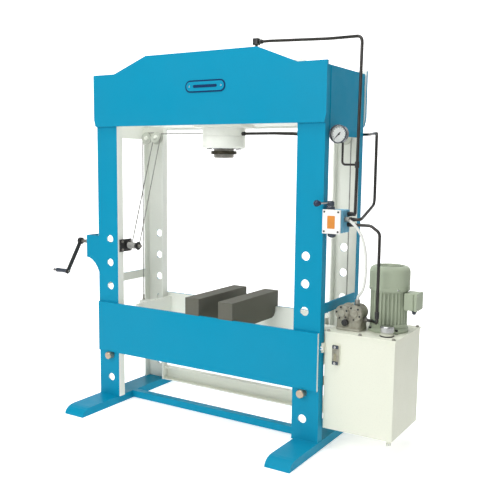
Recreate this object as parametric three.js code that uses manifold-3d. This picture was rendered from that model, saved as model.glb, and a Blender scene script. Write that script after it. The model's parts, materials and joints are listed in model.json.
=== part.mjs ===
// Hydraulic workshop press: a four-upright steel frame with a fixed cylinder in
// its head, a pinned bed raised by a hand winch, and an electric power pack on
// the right-hand side. Millimetres, +Z up, front towards -Y, origin on the
// floor at the middle of the plan outline.
import * as THREE from "three";
import { mergeVertices } from "three/addons/utils/BufferGeometryUtils.js";
import Module from "manifold-3d";

const wasm = await Module();
wasm.setup();

// ---------------------------------------------------------------- dimensions
const GAP = 0.3; // clearance between two pieces that touch

// Frame
const FRAME_WIDTH = 1370; // over the uprights
const FRAME_DEPTH = 435; // over the upright webs, front to back
const UPRIGHT_WIDTH = 140; // channel web
const FLANGE_DEPTH = 45;
const WEB = 7;
const FLANGE = 8;
const PLATE = 14; // head and bed plates
const HOLE_R = 21.5;
const HOLE_SHIFT = 14; // holes stand this far inside the middle of the web
const HOLE_PITCH = 130;
const HOLE_COUNT = 7;
const FIRST_HOLE_Z = 147; // lowest pin hole
const PIN_HOLE = 1; // hole the pins stand in, counted from the lowest
const LIFT_HOLES = 3; // travel of the bed above that hole, in holes
const HALF = FRAME_WIDTH / 2;
const UPRIGHT_X = HALF - UPRIGHT_WIDTH / 2;
const HOLE_X = UPRIGHT_X - HOLE_SHIFT;
const WINDOW_HALF = HALF - UPRIGHT_WIDTH;
const MID_Y = FRAME_DEPTH / 2;
const REAR_FACE = FRAME_DEPTH + GAP;

// Head
const HEAD_BOTTOM_Z = 1535;
const HEAD_HEIGHT = 271;
const CROWN_RISE = 81;
const CROWN_HALF = 333;
const SHOULDER_INSET = 139;
const HEAD_OVERHANG = 9;
const HEAD_TAPER = 38;
const HEAD_SIDE_DROP = 55; // side plates hang this far below the head plates
const SIDE_SHEET = 8;
const MOUNT_PLATE = 30;
const MOUNT_RISE = 10; // underside of the cylinder plate above the head's lower edge
const MOUNT_INSET = 45; // cylinder plate short of the uprights
const STIFFENER = 15;
const HEAD_TOP_Z = HEAD_BOTTOM_Z + HEAD_HEIGHT;
const CROWN_Z = HEAD_TOP_Z + CROWN_RISE;
const SHOULDER_HALF = HALF - SHOULDER_INSET;

// Feet and lower ties
const FOOT_HEIGHT = 42;
const FOOT_WIDTH = 128;
const FOOT_FRONT = 277; // reach in front of the frame
const FOOT_REAR = 98;
const FOOT_NOSE = 64;
const FOOT_SHEET = 6;
const TIE_SETBACK = 120;
const TIE_Z = 7;
const TIE_LEG = 38;
const TIE_SHEET = 5;
const BEAM_HEIGHT = 80;
const BEAM_DEPTH = 40;
const BEAM_SHEET = 6;
const BRACE_Z = 660;
const BRACE_HEIGHT = 47;

// Bed
const BED_HALF = HALF - 5;
const BED_HEIGHT = 277;
const BED_END_X = WINDOW_HALF - 25;
const BED_END_RISE = 12; // bed ends above the plates' lower edge
const BED_END_DROP = 20; // and below their upper edge
const BED_LIFT = LIFT_HOLES * HOLE_PITCH;
const NOTCH_ROOM = 8;
const PIN_R = 20;
const PIN_PROUD = 33; // beyond the upright web, each side
const PIN_Z = FIRST_HOLE_Z + PIN_HOLE * HOLE_PITCH - (HOLE_R - PIN_R) + 2 * GAP;
const BED_BOTTOM_Z = PIN_Z + PIN_R + GAP;
const BED_TOP_Z = BED_BOTTOM_Z + BED_HEIGHT;

// Press blocks
const BLOCK_WIDTH = 84;
const BLOCK_HEIGHT = 87;
const BLOCK_LEFT_X = -36;
const BLOCK_RIGHT_X = 168;
const BELLY_DEPTH = 55;
const BELLY_INSET = 16;

// Cylinder and ram
const BARREL_R = 112;
const BORE_R = 90;
const NOSE_DROP = 112; // gland face below the head
const NOSE_HEIGHT = 62;
const BARREL_PROUD = 44; // barrel above the head's shoulders
const CAP_HEIGHT = 32;
const RAM_R = 52.5;
const RAM_SHOWS = 49; // ram below the gland
const COLLAR_R = 67;
const COLLAR_RISE = 19; // collar above the ram's end
const COLLAR_HEIGHT = 18;
const PISTON_HEIGHT = 45;
const LOCK_RING_R = 158;
const LOCK_RING_HEIGHT = 16;
const NOSE_Z = HEAD_BOTTOM_Z - NOSE_DROP;
const BARREL_TOP_Z = HEAD_TOP_Z + BARREL_PROUD;
const RAM_END_Z = NOSE_Z - RAM_SHOWS;
const COLLAR_Z = RAM_END_Z + COLLAR_RISE;

// Winch and ropes; sideways places are measured from the frame they hang on
const SHAFT_R = 10;
const SHAFT_Y = 70;
const SHAFT_Z = 892;
const SHAFT_LEFT_X = -HALF - 220;
const SHAFT_RIGHT_X = -WINDOW_HALF + 105;
const DRUM_CORE_R = 15;
const DRUM_FLANGE_R = 23;
const DRUM_LEFT_X = -WINDOW_HALF + 11;
const DRUM_RIGHT_X = DRUM_LEFT_X + 76;
const RATCHET_X = -HALF + 85;
const RATCHET_R = 24;
const BRACKET_X = -HALF - 111;
const BRACKET_Y = 20;
const BRACKET_TOP_Z = SHAFT_Z + 44;
const BRACKET_BOTTOM_Z = BRACKET_TOP_Z - 300;
const BRACKET_CHEEK = 125; // height of the bracket's bearing cheek
const BRACKET_SHEET = 6;
const BEARING_HALF = 34;
const CRANK_X = BRACKET_X - 96;
const CRANK_REACH = 196;
const CRANK_LEAN = 32.7; // degrees in front of straight down
const GRIP_LENGTH = 92;
const GRIP_R = 13;
const ROPE_R = 3;
const ROPE_Y = MID_Y + BARREL_R + 10.5; // the ropes run behind the cylinder
const SHEAVE_Z = HEAD_BOTTOM_Z - 50;
const SHEAVE_R = 27; // groove bottom
const SHEAVE_LIP = 7;
const SHEAVE_WIDTH = 12;
const DRUM_TO_RIGHT_X = DRUM_LEFT_X + 11; // where each rope leaves the drum
const DRUM_TO_LEFT_X = DRUM_RIGHT_X - 12;
const RISER_SHEAVE_X = -WINDOW_HALF;
const SHEAVE_PITCH = 14; // between the two riser sheaves on their axle
const FALL_X = HALF - 30;
const LUG_HALF = 10;
const LUG_THICK = 15;
const LUG_DROP = 45; // top of the rope lugs below the bed top
const AXLE_R = 8;
const HANGER_Y = ROPE_Y + 31;
const HANGER_SHEET = 7;

// Power pack
const TANK_X = HALF + 9;
const TANK_WIDTH = 340;
const TANK_Y = 35;
const TANK_DEPTH = 340;
const TANK_Z = 113;
const TANK_HEIGHT = 458;
const TANK_WALL = 4;
const LID = 9;
const TANK_TOP_Z = TANK_Z + TANK_HEIGHT;
const LID_Z = TANK_TOP_Z + GAP;
const LID_TOP_Z = LID_Z + LID;
const TANK_RIGHT_X = TANK_X + TANK_WIDTH;
const TANK_REAR_Y = TANK_Y + TANK_DEPTH;
const MOTOR_X = TANK_RIGHT_X - 104;
const MOTOR_Y = TANK_REAR_Y - 153;
const MOTOR_R = 86;
const MOTOR_FLANGE_R = 92;
const MOTOR_BORE = 62;
const MOTOR_Z = LID_TOP_Z + 23.7;
const MOTOR_TOP_Z = MOTOR_Z + 186;
const COWL_R = 93.5;
const COWL_TOP_Z = MOTOR_TOP_Z + 97;
const FINS = 16;
const SPINDLE_R = 12;
const PUMP_R = 42;
const FILLER = { x: TANK_RIGHT_X - 64, y: TANK_Y + 65 };

// Valve, gauge and pipes
const VALVE_X = HALF + 5;
const VALVE_WIDTH = 88;
const VALVE_Y = -20;
const VALVE_DEPTH = 119;
const VALVE_Z = 1040;
const VALVE_HEIGHT = 109;
const VALVE_FACE = 11;
const HUB_X = VALVE_X + 25;
const HUB_Y = VALVE_Y + 32;
const VALVE_TOP_Z = VALVE_Z + VALVE_HEIGHT;
const LEVER_Z = VALVE_TOP_Z + 27;
const LEVER_REACH = 52;
const PORT_Y = VALVE_Y + 91;
const GAUGE_X = HALF + 51;
const GAUGE_Y = 20;
const GAUGE_Z = HEAD_BOTTOM_Z - 51;
const GAUGE_R = 42;
const GAUGE_DEPTH = 36;
const PIPE_R = 7;
const HOSE_R = 6.5;
const PIPE_X = HALF + 125; // upright runs of the two cylinder pipes
const RUN_Z = HEAD_TOP_Z + 144; // start of the run over the head
const ELBOW_X = 190;

const ROPE_WRAP_R = SHEAVE_R + ROPE_R + GAP;
const FALL_SHEAVE_X = FALL_X - ROPE_WRAP_R;
// The risers lean back from the drum, so their sheaves lie in that leaning plane.
const DRUM_WRAP_R = DRUM_CORE_R + ROPE_R + GAP;
const RISER_TILT = Math.atan2(ROPE_Y - SHAFT_Y - DRUM_WRAP_R, SHEAVE_Z - SHAFT_Z);
const TILT_SIN = Math.sin(RISER_TILT);
const TILT_COS = Math.cos(RISER_TILT);

// ------------------------------------------------------------------- helpers
/** Closed three.js geometry as a solid, faces turned outwards. */
function solid(geometry) {
  const bare = geometry.clone();
  bare.deleteAttribute("normal");
  bare.deleteAttribute("uv");
  const merged = mergeVertices(bare, 1e-4);
  const make = (tris) =>
    new wasm.Manifold(
      new wasm.Mesh({
        numProp: 3,
        vertProperties: new Float32Array(merged.attributes.position.array),
        triVerts: tris,
      }),
    );
  const tris = new Uint32Array(merged.index.array);
  const made = make(tris);
  if (made.volume() >= 0) return made;
  for (let i = 0; i < tris.length; i += 3)
    [tris[i + 1], tris[i + 2]] = [tris[i + 2], tris[i + 1]];
  return make(tris);
}

/** Solid back to a flat-shaded BufferGeometry. */
function geometryOf(shape) {
  const mesh = shape.getMesh();
  const indexed = new THREE.BufferGeometry();
  indexed.setAttribute(
    "position",
    new THREE.BufferAttribute(new Float32Array(mesh.vertProperties), 3),
  );
  indexed.setIndex(new THREE.BufferAttribute(new Uint32Array(mesh.triVerts), 1));
  const flat = indexed.toNonIndexed();
  flat.computeVertexNormals();
  return flat;
}

/** Box between two corners. */
function box(x0, x1, y0, y1, z0, z1) {
  return solid(
    new THREE.BoxGeometry(x1 - x0, y1 - y0, z1 - z0).translate(
      (x0 + x1) / 2,
      (y0 + y1) / 2,
      (z0 + z1) / 2,
    ),
  );
}

/** Round bar along one axis, from a to b, centred on (u, v) in the other two. */
function bar(axis, a, b, u, v, radius, sides = 24) {
  const g = new THREE.CylinderGeometry(radius, radius, b - a, sides);
  const m = (a + b) / 2;
  if (axis === "x") g.rotateZ(-Math.PI / 2).translate(m, u, v);
  else if (axis === "y") g.translate(u, m, v);
  else g.rotateX(Math.PI / 2).translate(u, v, m);
  return solid(g);
}

/** Turned piece about +Z from [radius, z] pairs; closes on itself. */
function turned(profile, sides = 32) {
  const points = profile.map(([r, z]) => new THREE.Vector2(r, z));
  points.push(points[0].clone());
  return solid(new THREE.LatheGeometry(points, sides).rotateX(Math.PI / 2));
}

/** Flat outline of [u, v] pairs given a thickness along one axis. */
function slab(axis, outline, from, to) {
  const shape = new THREE.Shape(outline.map(([u, v]) => new THREE.Vector2(u, v)));
  const g = new THREE.ExtrudeGeometry(shape, {
    depth: to - from,
    bevelEnabled: false,
    steps: 1,
  }).translate(0, 0, from);
  if (axis === "y") g.rotateX(Math.PI / 2).scale(1, -1, 1);
  if (axis === "x")
    g.applyMatrix4(
      new THREE.Matrix4().set(0, 0, 1, 0, 1, 0, 0, 0, 0, 1, 0, 0, 0, 0, 0, 1),
    );
  return solid(g);
}

/** Path through corner points with every corner rounded to a bend radius. */
class BentPath extends THREE.Curve {
  constructor(corners, radius, bendSteps = 5) {
    super();
    const v = corners.map((c) => new THREE.Vector3(...c));
    this.points = [v[0]];
    for (let i = 1; i < v.length - 1; i++) {
      const before = v[i - 1].clone().sub(v[i]);
      const after = v[i + 1].clone().sub(v[i]);
      const turn = Math.PI - before.angleTo(after);
      const reach = Math.min(
        radius * Math.tan(turn / 2),
        before.length() / 2.05,
        after.length() / 2.05,
      );
      const a = v[i].clone().addScaledVector(before.normalize(), reach);
      const b = v[i].clone().addScaledVector(after.normalize(), reach);
      const bend = new THREE.QuadraticBezierCurve3(a, v[i], b);
      this.points.push(...bend.getPoints(bendSteps));
    }
    this.points.push(v[v.length - 1]);
  }
  getPointAt(u) {
    const f = u * (this.points.length - 1);
    return this.points[Math.round(f)].clone();
  }
  getTangentAt(u) {
    const i = Math.round(u * (this.points.length - 1));
    const a = this.points[Math.max(i - 1, 0)];
    const b = this.points[Math.min(i + 1, this.points.length - 1)];
    return b.clone().sub(a).normalize();
  }
}

/** Round tube or rope along a bent path. */
function tube(corners, radius, bendRadius, sides = 8, bendSteps = 5) {
  const path = new BentPath(corners, bendRadius, bendSteps);
  const ring = [];
  for (let i = 0; i < sides; i++) {
    const a = (2 * Math.PI * i) / sides;
    ring.push(new THREE.Vector2(radius * Math.cos(a), radius * Math.sin(a)));
  }
  return solid(
    new THREE.ExtrudeGeometry(new THREE.Shape(ring), {
      steps: path.points.length - 1,
      extrudePath: path,
      bevelEnabled: false,
    }),
  );
}

/** Arc of a rope round a sheave whose plane leans back from vertical by tilt. */
function wrapArc([cx, cy, cz], from, to, steps, tilt = 0) {
  const list = [];
  for (let i = 0; i <= steps; i++) {
    const a = THREE.MathUtils.degToRad(from + ((to - from) * i) / steps);
    const up = ROPE_WRAP_R * Math.sin(a);
    list.push([
      cx + ROPE_WRAP_R * Math.cos(a),
      cy + up * Math.sin(tilt),
      cz + up * Math.cos(tilt),
    ]);
  }
  return list;
}

const paint = (color, roughness = 0.42, metalness = 0.0) => ({
  color,
  roughness,
  metalness,
});
const BLUE = paint(0x0798c4);
const WHITE = paint(0xf1f1e8, 0.5);
const STEEL = paint(0x6f6a60, 0.45, 0.9);
const DARK = paint(0x26261f, 0.5, 0.7);
const BLACK = paint(0x141414, 0.45);
const TANK = paint(0xe9eadb, 0.45);
const MOTOR = paint(0x9fa793, 0.5);
const CAST = paint(0x8c8a76, 0.65, 0.3);
const BRIGHT = paint(0xb9bbb8, 0.25, 1.0);
const BRONZE = paint(0x8a6a4a, 0.4, 0.8);

const press = new THREE.Group();

/** Adds one solid to the press as a named mesh, re-centred on its own middle. */
function add(name, shape, finish, parent = press) {
  const geometry = geometryOf(shape);
  geometry.computeBoundingBox();
  const middle = geometry.boundingBox.getCenter(new THREE.Vector3());
  geometry.translate(-middle.x, -middle.y, -middle.z);
  const mesh = new THREE.Mesh(geometry, new THREE.MeshStandardMaterial(finish));
  mesh.name = name;
  mesh.position.copy(middle);
  parent.add(mesh);
  return mesh;
}

// ------------------------------------------------------------------ uprights
/** Channel with its web at y = 0, flanges towards +y, and the pin holes. */
function uprightChannel(holeOffset) {
  const w = UPRIGHT_WIDTH / 2;
  const bottom = FOOT_HEIGHT + GAP;
  const outer = box(-w, w, 0, FLANGE_DEPTH, bottom, HEAD_TOP_Z - STIFFENER);
  const hollow = box(
    -w + FLANGE,
    w - FLANGE,
    WEB,
    FLANGE_DEPTH + WEB,
    bottom - WEB,
    HEAD_TOP_Z,
  );
  let channel = outer.subtract(hollow);
  for (let i = 0; i < HOLE_COUNT; i++)
    channel = channel.subtract(
      bar("y", -WEB, 2 * WEB, holeOffset, FIRST_HOLE_Z + i * HOLE_PITCH, HOLE_R, 20),
    );
  return channel;
}
for (const [side, sx] of [["left", -1], ["right", 1]]) {
  const offset = sx * (HOLE_X - UPRIGHT_X);
  const front = uprightChannel(offset);
  add(`upright_front_${side}`, front.translate([sx * UPRIGHT_X, 0, 0]), BLUE);
  const rear = uprightChannel(offset).mirror([0, 1, 0]);
  add(`upright_rear_${side}`, rear.translate([sx * UPRIGHT_X, FRAME_DEPTH, 0]), BLUE);
}

// ---------------------------------------------------------------------- head
const headOutline = [
  [-HALF, HEAD_BOTTOM_Z],
  [HALF, HEAD_BOTTOM_Z],
  [HALF + HEAD_OVERHANG, HEAD_BOTTOM_Z + HEAD_TAPER],
  [HALF + HEAD_OVERHANG, HEAD_TOP_Z],
  [SHOULDER_HALF, HEAD_TOP_Z],
  [CROWN_HALF, CROWN_Z],
  [-CROWN_HALF, CROWN_Z],
  [-SHOULDER_HALF, HEAD_TOP_Z],
  [-HALF - HEAD_OVERHANG, HEAD_TOP_Z],
  [-HALF - HEAD_OVERHANG, HEAD_BOTTOM_Z + HEAD_TAPER],
];
add("head_plate_front", slab("y", headOutline, -PLATE - GAP, -GAP), BLUE);
add("head_plate_rear", slab("y", headOutline, REAR_FACE, REAR_FACE + PLATE), BLUE);
const flangeTip = FLANGE_DEPTH + GAP;
for (const [side, sx] of [["left", -1], ["right", 1]]) {
  const x0 = Math.min(sx * HALF, sx * (HALF - SIDE_SHEET));
  const x1 = x0 + SIDE_SHEET;
  const sheet = (z0, z1) => box(x0, x1, flangeTip, FRAME_DEPTH - flangeTip, z0, z1);
  add(
    `head_side_plate_${side}`,
    sheet(HEAD_BOTTOM_Z - HEAD_SIDE_DROP, HEAD_TOP_Z - STIFFENER),
    BLUE,
  );
  add(`side_brace_${side}`, sheet(BRACE_Z, BRACE_Z + BRACE_HEIGHT), BLUE);
}
const mountZ = HEAD_BOTTOM_Z + MOUNT_RISE;
const cylinderHole = (z0, z1) =>
  bar("z", z0 - 1, z1 + 1, 0, MID_Y, BARREL_R + GAP, 36);
const crossPlate = (half, z0, z1) =>
  box(-half, half, 0, FRAME_DEPTH, z0, z1).subtract(cylinderHole(z0, z1));
add("cylinder_plate_lower", crossPlate(WINDOW_HALF - MOUNT_INSET, mountZ, mountZ + MOUNT_PLATE), WHITE);

// ---------------------------------------------------------- feet, lower ties
const footProfile = (inset) => {
  const h = FOOT_HEIGHT - inset;
  const nose = (y, dir) => {
    const out = [];
    for (let i = 0; i <= 5; i++) {
      const a = (Math.PI / 2) * (i / 5);
      out.push([
        y + dir * (FOOT_NOSE - inset) * (1 - Math.cos(a)),
        h * Math.sin(a),
      ]);
    }
    return out;
  };
  return [
    ...nose(-FOOT_FRONT + inset, 1),
    ...nose(FRAME_DEPTH + FOOT_REAR - inset, -1).reverse(),
  ];
};
for (const [side, sx] of [["left", -1], ["right", 1]]) {
  const x0 = sx < 0 ? -HALF : HALF - FOOT_WIDTH;
  const shell = slab("x", footProfile(0), x0, x0 + FOOT_WIDTH);
  const hollow = slab(
    "x",
    footProfile(FOOT_SHEET).map(([y, z]) => [y, z === 0 ? -5 : z]),
    x0 + FOOT_SHEET,
    x0 + FOOT_WIDTH - FOOT_SHEET,
  );
  add(`foot_${side}`, shell.subtract(hollow), BLUE);
}
const tieHalf = HALF - FOOT_WIDTH - GAP;
add(
  "front_tie_bar",
  box(-tieHalf, tieHalf, TIE_SETBACK, TIE_SETBACK + TIE_SHEET, TIE_Z, TIE_Z + TIE_LEG).add(
    box(
      -tieHalf, tieHalf,
      TIE_SETBACK, TIE_SETBACK + TIE_LEG,
      TIE_Z + TIE_LEG - TIE_SHEET, TIE_Z + TIE_LEG,
    ),
  ),
  BLUE,
);
const beamHalf = WINDOW_HALF - GAP;
add(
  "rear_lower_beam",
  box(
    -beamHalf, beamHalf,
    FRAME_DEPTH - BEAM_DEPTH, FRAME_DEPTH,
    FOOT_HEIGHT + GAP, FOOT_HEIGHT + BEAM_HEIGHT,
  ).subtract(
    box(
      -beamHalf - 1, beamHalf + 1,
      FRAME_DEPTH - BEAM_DEPTH - 1, FRAME_DEPTH - BEAM_SHEET,
      FOOT_HEIGHT + BEAM_SHEET, FOOT_HEIGHT + BEAM_HEIGHT - BEAM_SHEET,
    ),
  ),
  BLUE,
);

// ------------------------------------------------------- bed, pins and blocks
const bedPlate = (y0) =>
  box(-BED_HALF, BED_HALF, y0, y0 + PLATE, BED_BOTTOM_Z, BED_TOP_Z);
/** Notch by which the left bed end clears the winch drum and ropes at full lift. */
const drumNotch = (x) =>
  box(
    x - PLATE, x + PLATE,
    SHAFT_Y - DRUM_FLANGE_R - NOTCH_ROOM, SHAFT_Y + DRUM_FLANGE_R + 4 * NOTCH_ROOM,
    SHAFT_Z - DRUM_FLANGE_R - BED_LIFT - NOTCH_ROOM, BED_TOP_Z,
  );
add("bed_plate_front", bedPlate(-PLATE - GAP), BLUE);
add("bed_plate_rear", bedPlate(REAR_FACE), BLUE);
for (const [side, sx] of [["left", -1], ["right", 1]]) {
  const x = sx * BED_END_X;
  const lug = sx * FALL_X;
  let web = box(
    x - PLATE / 2, x + PLATE / 2,
    0, FRAME_DEPTH,
    BED_BOTTOM_Z + BED_END_RISE, BED_TOP_Z - BED_END_DROP,
  );
  if (sx < 0) web = web.subtract(drumNotch(x));
  const arm = box(
    Math.min(x, lug + sx * LUG_HALF), Math.max(x, lug + sx * LUG_HALF),
    ROPE_Y - 24, ROPE_Y + 26,
    BED_TOP_Z - LUG_DROP - LUG_THICK, BED_TOP_Z - LUG_DROP,
  );
  add(`bed_end_${side}`, web.add(arm), WHITE);
  add(
    `pin_${side}`,
    bar("y", -PIN_PROUD, FRAME_DEPTH + PIN_PROUD, sx * HOLE_X, PIN_Z, PIN_R, 24),
    BRONZE,
  );
}
const blockLength = FRAME_DEPTH + 2 * (PLATE + GAP);
function pressBlock(x) {
  const z0 = BED_TOP_Z + GAP;
  const y0 = -PLATE - GAP;
  return slab(
    "x",
    [
      [y0, z0], [y0, z0 + BLOCK_HEIGHT],
      [y0 + blockLength, z0 + BLOCK_HEIGHT], [y0 + blockLength, z0],
      [FRAME_DEPTH - BELLY_INSET, z0],
      [FRAME_DEPTH - BELLY_INSET, z0 - BELLY_DEPTH + 30],
      [FRAME_DEPTH - BELLY_INSET - 12, z0 - BELLY_DEPTH + 9],
      [FRAME_DEPTH - BELLY_INSET - 34, z0 - BELLY_DEPTH],
      [BELLY_INSET + 34, z0 - BELLY_DEPTH],
      [BELLY_INSET + 12, z0 - BELLY_DEPTH + 9],
      [BELLY_INSET, z0 - BELLY_DEPTH + 30],
      [BELLY_INSET, z0],
    ],
    x - BLOCK_WIDTH / 2,
    x + BLOCK_WIDTH / 2,
  );
}
add("press_block_left", pressBlock(BLOCK_LEFT_X), DARK);
add("press_block_right", pressBlock(BLOCK_RIGHT_X), DARK);

// ------------------------------------------------------------ cylinder and ram
const atAxis = (shape) => shape.translate([0, MID_Y, 0]);
const ramBore = RAM_R + GAP;
add(
  "cylinder_gland",
  atAxis(
    turned([
      [ramBore, NOSE_Z], [BARREL_R - 6, NOSE_Z], [BARREL_R, NOSE_Z + 6],
      [BARREL_R, NOSE_Z + NOSE_HEIGHT], [ramBore, NOSE_Z + NOSE_HEIGHT],
    ], 36),
  ),
  WHITE,
);
const barrelZ = NOSE_Z + NOSE_HEIGHT + GAP;
const sidePort = (z) =>
  bar("x", BORE_R - 12, BARREL_R + 10, MID_Y, z, PIPE_R - 2, 12);
const PORT_LOW_Z = NOSE_Z + NOSE_HEIGHT + 14;
const barrel = atAxis(
  turned([
    [BORE_R, barrelZ], [BARREL_R, barrelZ],
    [BARREL_R, mountZ - GAP - LOCK_RING_HEIGHT],
    [LOCK_RING_R, mountZ - GAP - LOCK_RING_HEIGHT],
    [LOCK_RING_R, mountZ - GAP], [BARREL_R, mountZ - GAP],
    [BARREL_R, BARREL_TOP_Z], [BORE_R, BARREL_TOP_Z],
  ], 36),
).subtract(sidePort(PORT_LOW_Z));
add("cylinder_barrel", barrel, WHITE);
const capZ = BARREL_TOP_Z + GAP;
const PORT_TOP_Z = capZ + CAP_HEIGHT / 2;
const cap = atAxis(
  turned([[0, capZ], [BARREL_R, capZ], [BARREL_R, capZ + CAP_HEIGHT], [0, capZ + CAP_HEIGHT]], 36),
)
  .subtract(bar("x", 30, BARREL_R + 10, MID_Y, PORT_TOP_Z, PIPE_R - 2, 12))
  .subtract(bar("z", capZ - 2, PORT_TOP_Z, 40, MID_Y, PIPE_R - 2, 12));
const pistonZ = BARREL_TOP_Z - PISTON_HEIGHT - 8;
add(
  "ram",
  atAxis(
    turned([
      [0, RAM_END_Z], [RAM_R - 5, RAM_END_Z], [RAM_R, RAM_END_Z + 5],
      [RAM_R, pistonZ], [BORE_R - 3 * GAP, pistonZ],
      [BORE_R - 3 * GAP, pistonZ + 16], [BORE_R - 4, pistonZ + 18],
      [BORE_R - 4, pistonZ + 26], [BORE_R - 3 * GAP, pistonZ + 28],
      [BORE_R - 3 * GAP, pistonZ + PISTON_HEIGHT], [0, pistonZ + PISTON_HEIGHT],
    ], 30),
  ),
  STEEL,
);
add(
  "ram_collar",
  atAxis(
    turned([
      [RAM_R + GAP, COLLAR_Z], [COLLAR_R - 2, COLLAR_Z], [COLLAR_R, COLLAR_Z + 2],
      [COLLAR_R, COLLAR_Z + COLLAR_HEIGHT], [RAM_R + GAP, COLLAR_Z + COLLAR_HEIGHT],
    ], 30),
  ),
  DARK,
);

// -------------------------------------------------------------- winch, ropes
const bracketEdge = -HALF - GAP;
const curve = [];
for (let i = 0; i <= 8; i++) {
  const a = (Math.PI / 2) * (i / 8);
  curve.push([
    BRACKET_X + (bracketEdge - BRACKET_X) * Math.sin(a),
    BRACKET_BOTTOM_Z + (BRACKET_TOP_Z - BRACKET_CHEEK - BRACKET_BOTTOM_Z) * Math.cos(a),
  ]);
}
const bracket = slab(
  "y",
  [[BRACKET_X, BRACKET_TOP_Z], ...curve, [bracketEdge, BRACKET_TOP_Z]],
  BRACKET_Y,
  BRACKET_Y + BRACKET_SHEET,
)
  .add(
    box(
      BRACKET_X, BRACKET_X + BRACKET_SHEET,
      BRACKET_Y, SHAFT_Y + 40, BRACKET_TOP_Z - BRACKET_CHEEK, BRACKET_TOP_Z,
    ),
  )
  .add(
    box(
      bracketEdge - BRACKET_SHEET, bracketEdge,
      BRACKET_Y, FLANGE_DEPTH, BRACKET_BOTTOM_Z, BRACKET_TOP_Z,
    ),
  )
  .subtract(bar("x", BRACKET_X - 5, BRACKET_X + 15, SHAFT_Y, SHAFT_Z, SHAFT_R + GAP, 20));
add("winch_bracket", bracket, BLUE);
const bearingX = -WINDOW_HALF + GAP;
add(
  "winch_bearing_plate",
  box(bearingX, bearingX + 8, 12, SHAFT_Y + BEARING_HALF, SHAFT_Z - BEARING_HALF, SHAFT_Z + BEARING_HALF).subtract(
    bar("x", bearingX - 5, bearingX + 15, SHAFT_Y, SHAFT_Z, SHAFT_R + GAP, 20),
  ),
  DARK,
);
const shaftBore = SHAFT_R + GAP;
/** Turned piece about the winch axis, from [radius, x] pairs. */
const onShaft = (profile, sides = 20) =>
  turned(profile, sides).rotate([0, 90, 0]).translate([0, SHAFT_Y, SHAFT_Z]);
add(
  "winch_shaft",
  onShaft([
    [0, SHAFT_LEFT_X], [SHAFT_R, SHAFT_LEFT_X],
    [SHAFT_R, RATCHET_X - 5], [RATCHET_R, RATCHET_X - 5],
    [RATCHET_R, RATCHET_X + 5], [SHAFT_R, RATCHET_X + 5],
    [SHAFT_R, DRUM_LEFT_X], [DRUM_FLANGE_R, DRUM_LEFT_X],
    [DRUM_FLANGE_R, DRUM_LEFT_X + 4], [DRUM_CORE_R, DRUM_LEFT_X + 4],
    [DRUM_CORE_R, DRUM_RIGHT_X - 4], [DRUM_FLANGE_R, DRUM_RIGHT_X - 4],
    [DRUM_FLANGE_R, DRUM_RIGHT_X], [SHAFT_R, DRUM_RIGHT_X],
    [SHAFT_R, SHAFT_RIGHT_X], [0, SHAFT_RIGHT_X],
  ]),
  STEEL,
);
const lean = THREE.MathUtils.degToRad(CRANK_LEAN);
const crankDir = [-Math.sin(lean), -Math.cos(lean)];
const crankEnd = [
  SHAFT_Y + CRANK_REACH * crankDir[0],
  SHAFT_Z + CRANK_REACH * crankDir[1],
];
const side = [crankDir[1] * 9, -crankDir[0] * 9];
add(
  "winch_crank",
  slab(
    "x",
    [
      [SHAFT_Y + side[0], SHAFT_Z + side[1]],
      [crankEnd[0] + side[0], crankEnd[1] + side[1]],
      [crankEnd[0] - side[0], crankEnd[1] - side[1]],
      [SHAFT_Y - side[0], SHAFT_Z - side[1]],
    ],
    CRANK_X - 4,
    CRANK_X + 4,
  )
    .add(bar("x", CRANK_X - 10, CRANK_X + 12, SHAFT_Y, SHAFT_Z, 19, 28))
    .add(bar("x", CRANK_X - 4, CRANK_X + 4, crankEnd[0], crankEnd[1], 12, 20))
    .add(bar("x", CRANK_X - GRIP_LENGTH - 14, CRANK_X, crankEnd[0], crankEnd[1], 5, 16))
    .add(bar("x", CRANK_X - GRIP_LENGTH - 18, CRANK_X - GRIP_LENGTH - 12, crankEnd[0], crankEnd[1], 8, 16))
    .subtract(bar("x", CRANK_X - 15, CRANK_X + 15, SHAFT_Y, SHAFT_Z, shaftBore, 24)),
  BLACK,
);
add(
  "crank_grip",
  turned([
    [5.4, 0], [GRIP_R - 3, 0], [GRIP_R, 4], [GRIP_R, GRIP_LENGTH - 14],
    [GRIP_R - 3, GRIP_LENGTH - 6], [5.4, GRIP_LENGTH - 6],
  ], 24)
    .rotate([0, -90, 0])
    .translate([CRANK_X - 4 - GAP, crankEnd[0], crankEnd[1]]),
  BLACK,
);

/** Rope sheave about an axis along Y, its plane leaning back by tilt. */
function sheave([x, y, z], tilt = 0) {
  const rim = SHEAVE_R + SHEAVE_LIP;
  const w = SHEAVE_WIDTH / 2;
  return turned([
    [AXLE_R + GAP, -w], [rim, -w], [rim, -w + 1.5], [SHEAVE_R, -ROPE_R + 0.6],
    [SHEAVE_R, ROPE_R - 0.6], [rim, w - 1.5], [rim, w], [AXLE_R + GAP, w],
  ], 26)
    .rotate([90, 0, 0])
    .rotate([-THREE.MathUtils.radToDeg(tilt), 0, 0])
    .translate([x, y, z]);
}
/** Middle of a riser sheave, moved along the leaning axle. */
const riserCentre = (shift) => [
  RISER_SHEAVE_X,
  ROPE_Y - shift * TILT_COS,
  SHEAVE_Z + shift * TILT_SIN,
];
const toLeft = riserCentre(SHEAVE_PITCH / 2);
const toRight = riserCentre(-SHEAVE_PITCH / 2);
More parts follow.
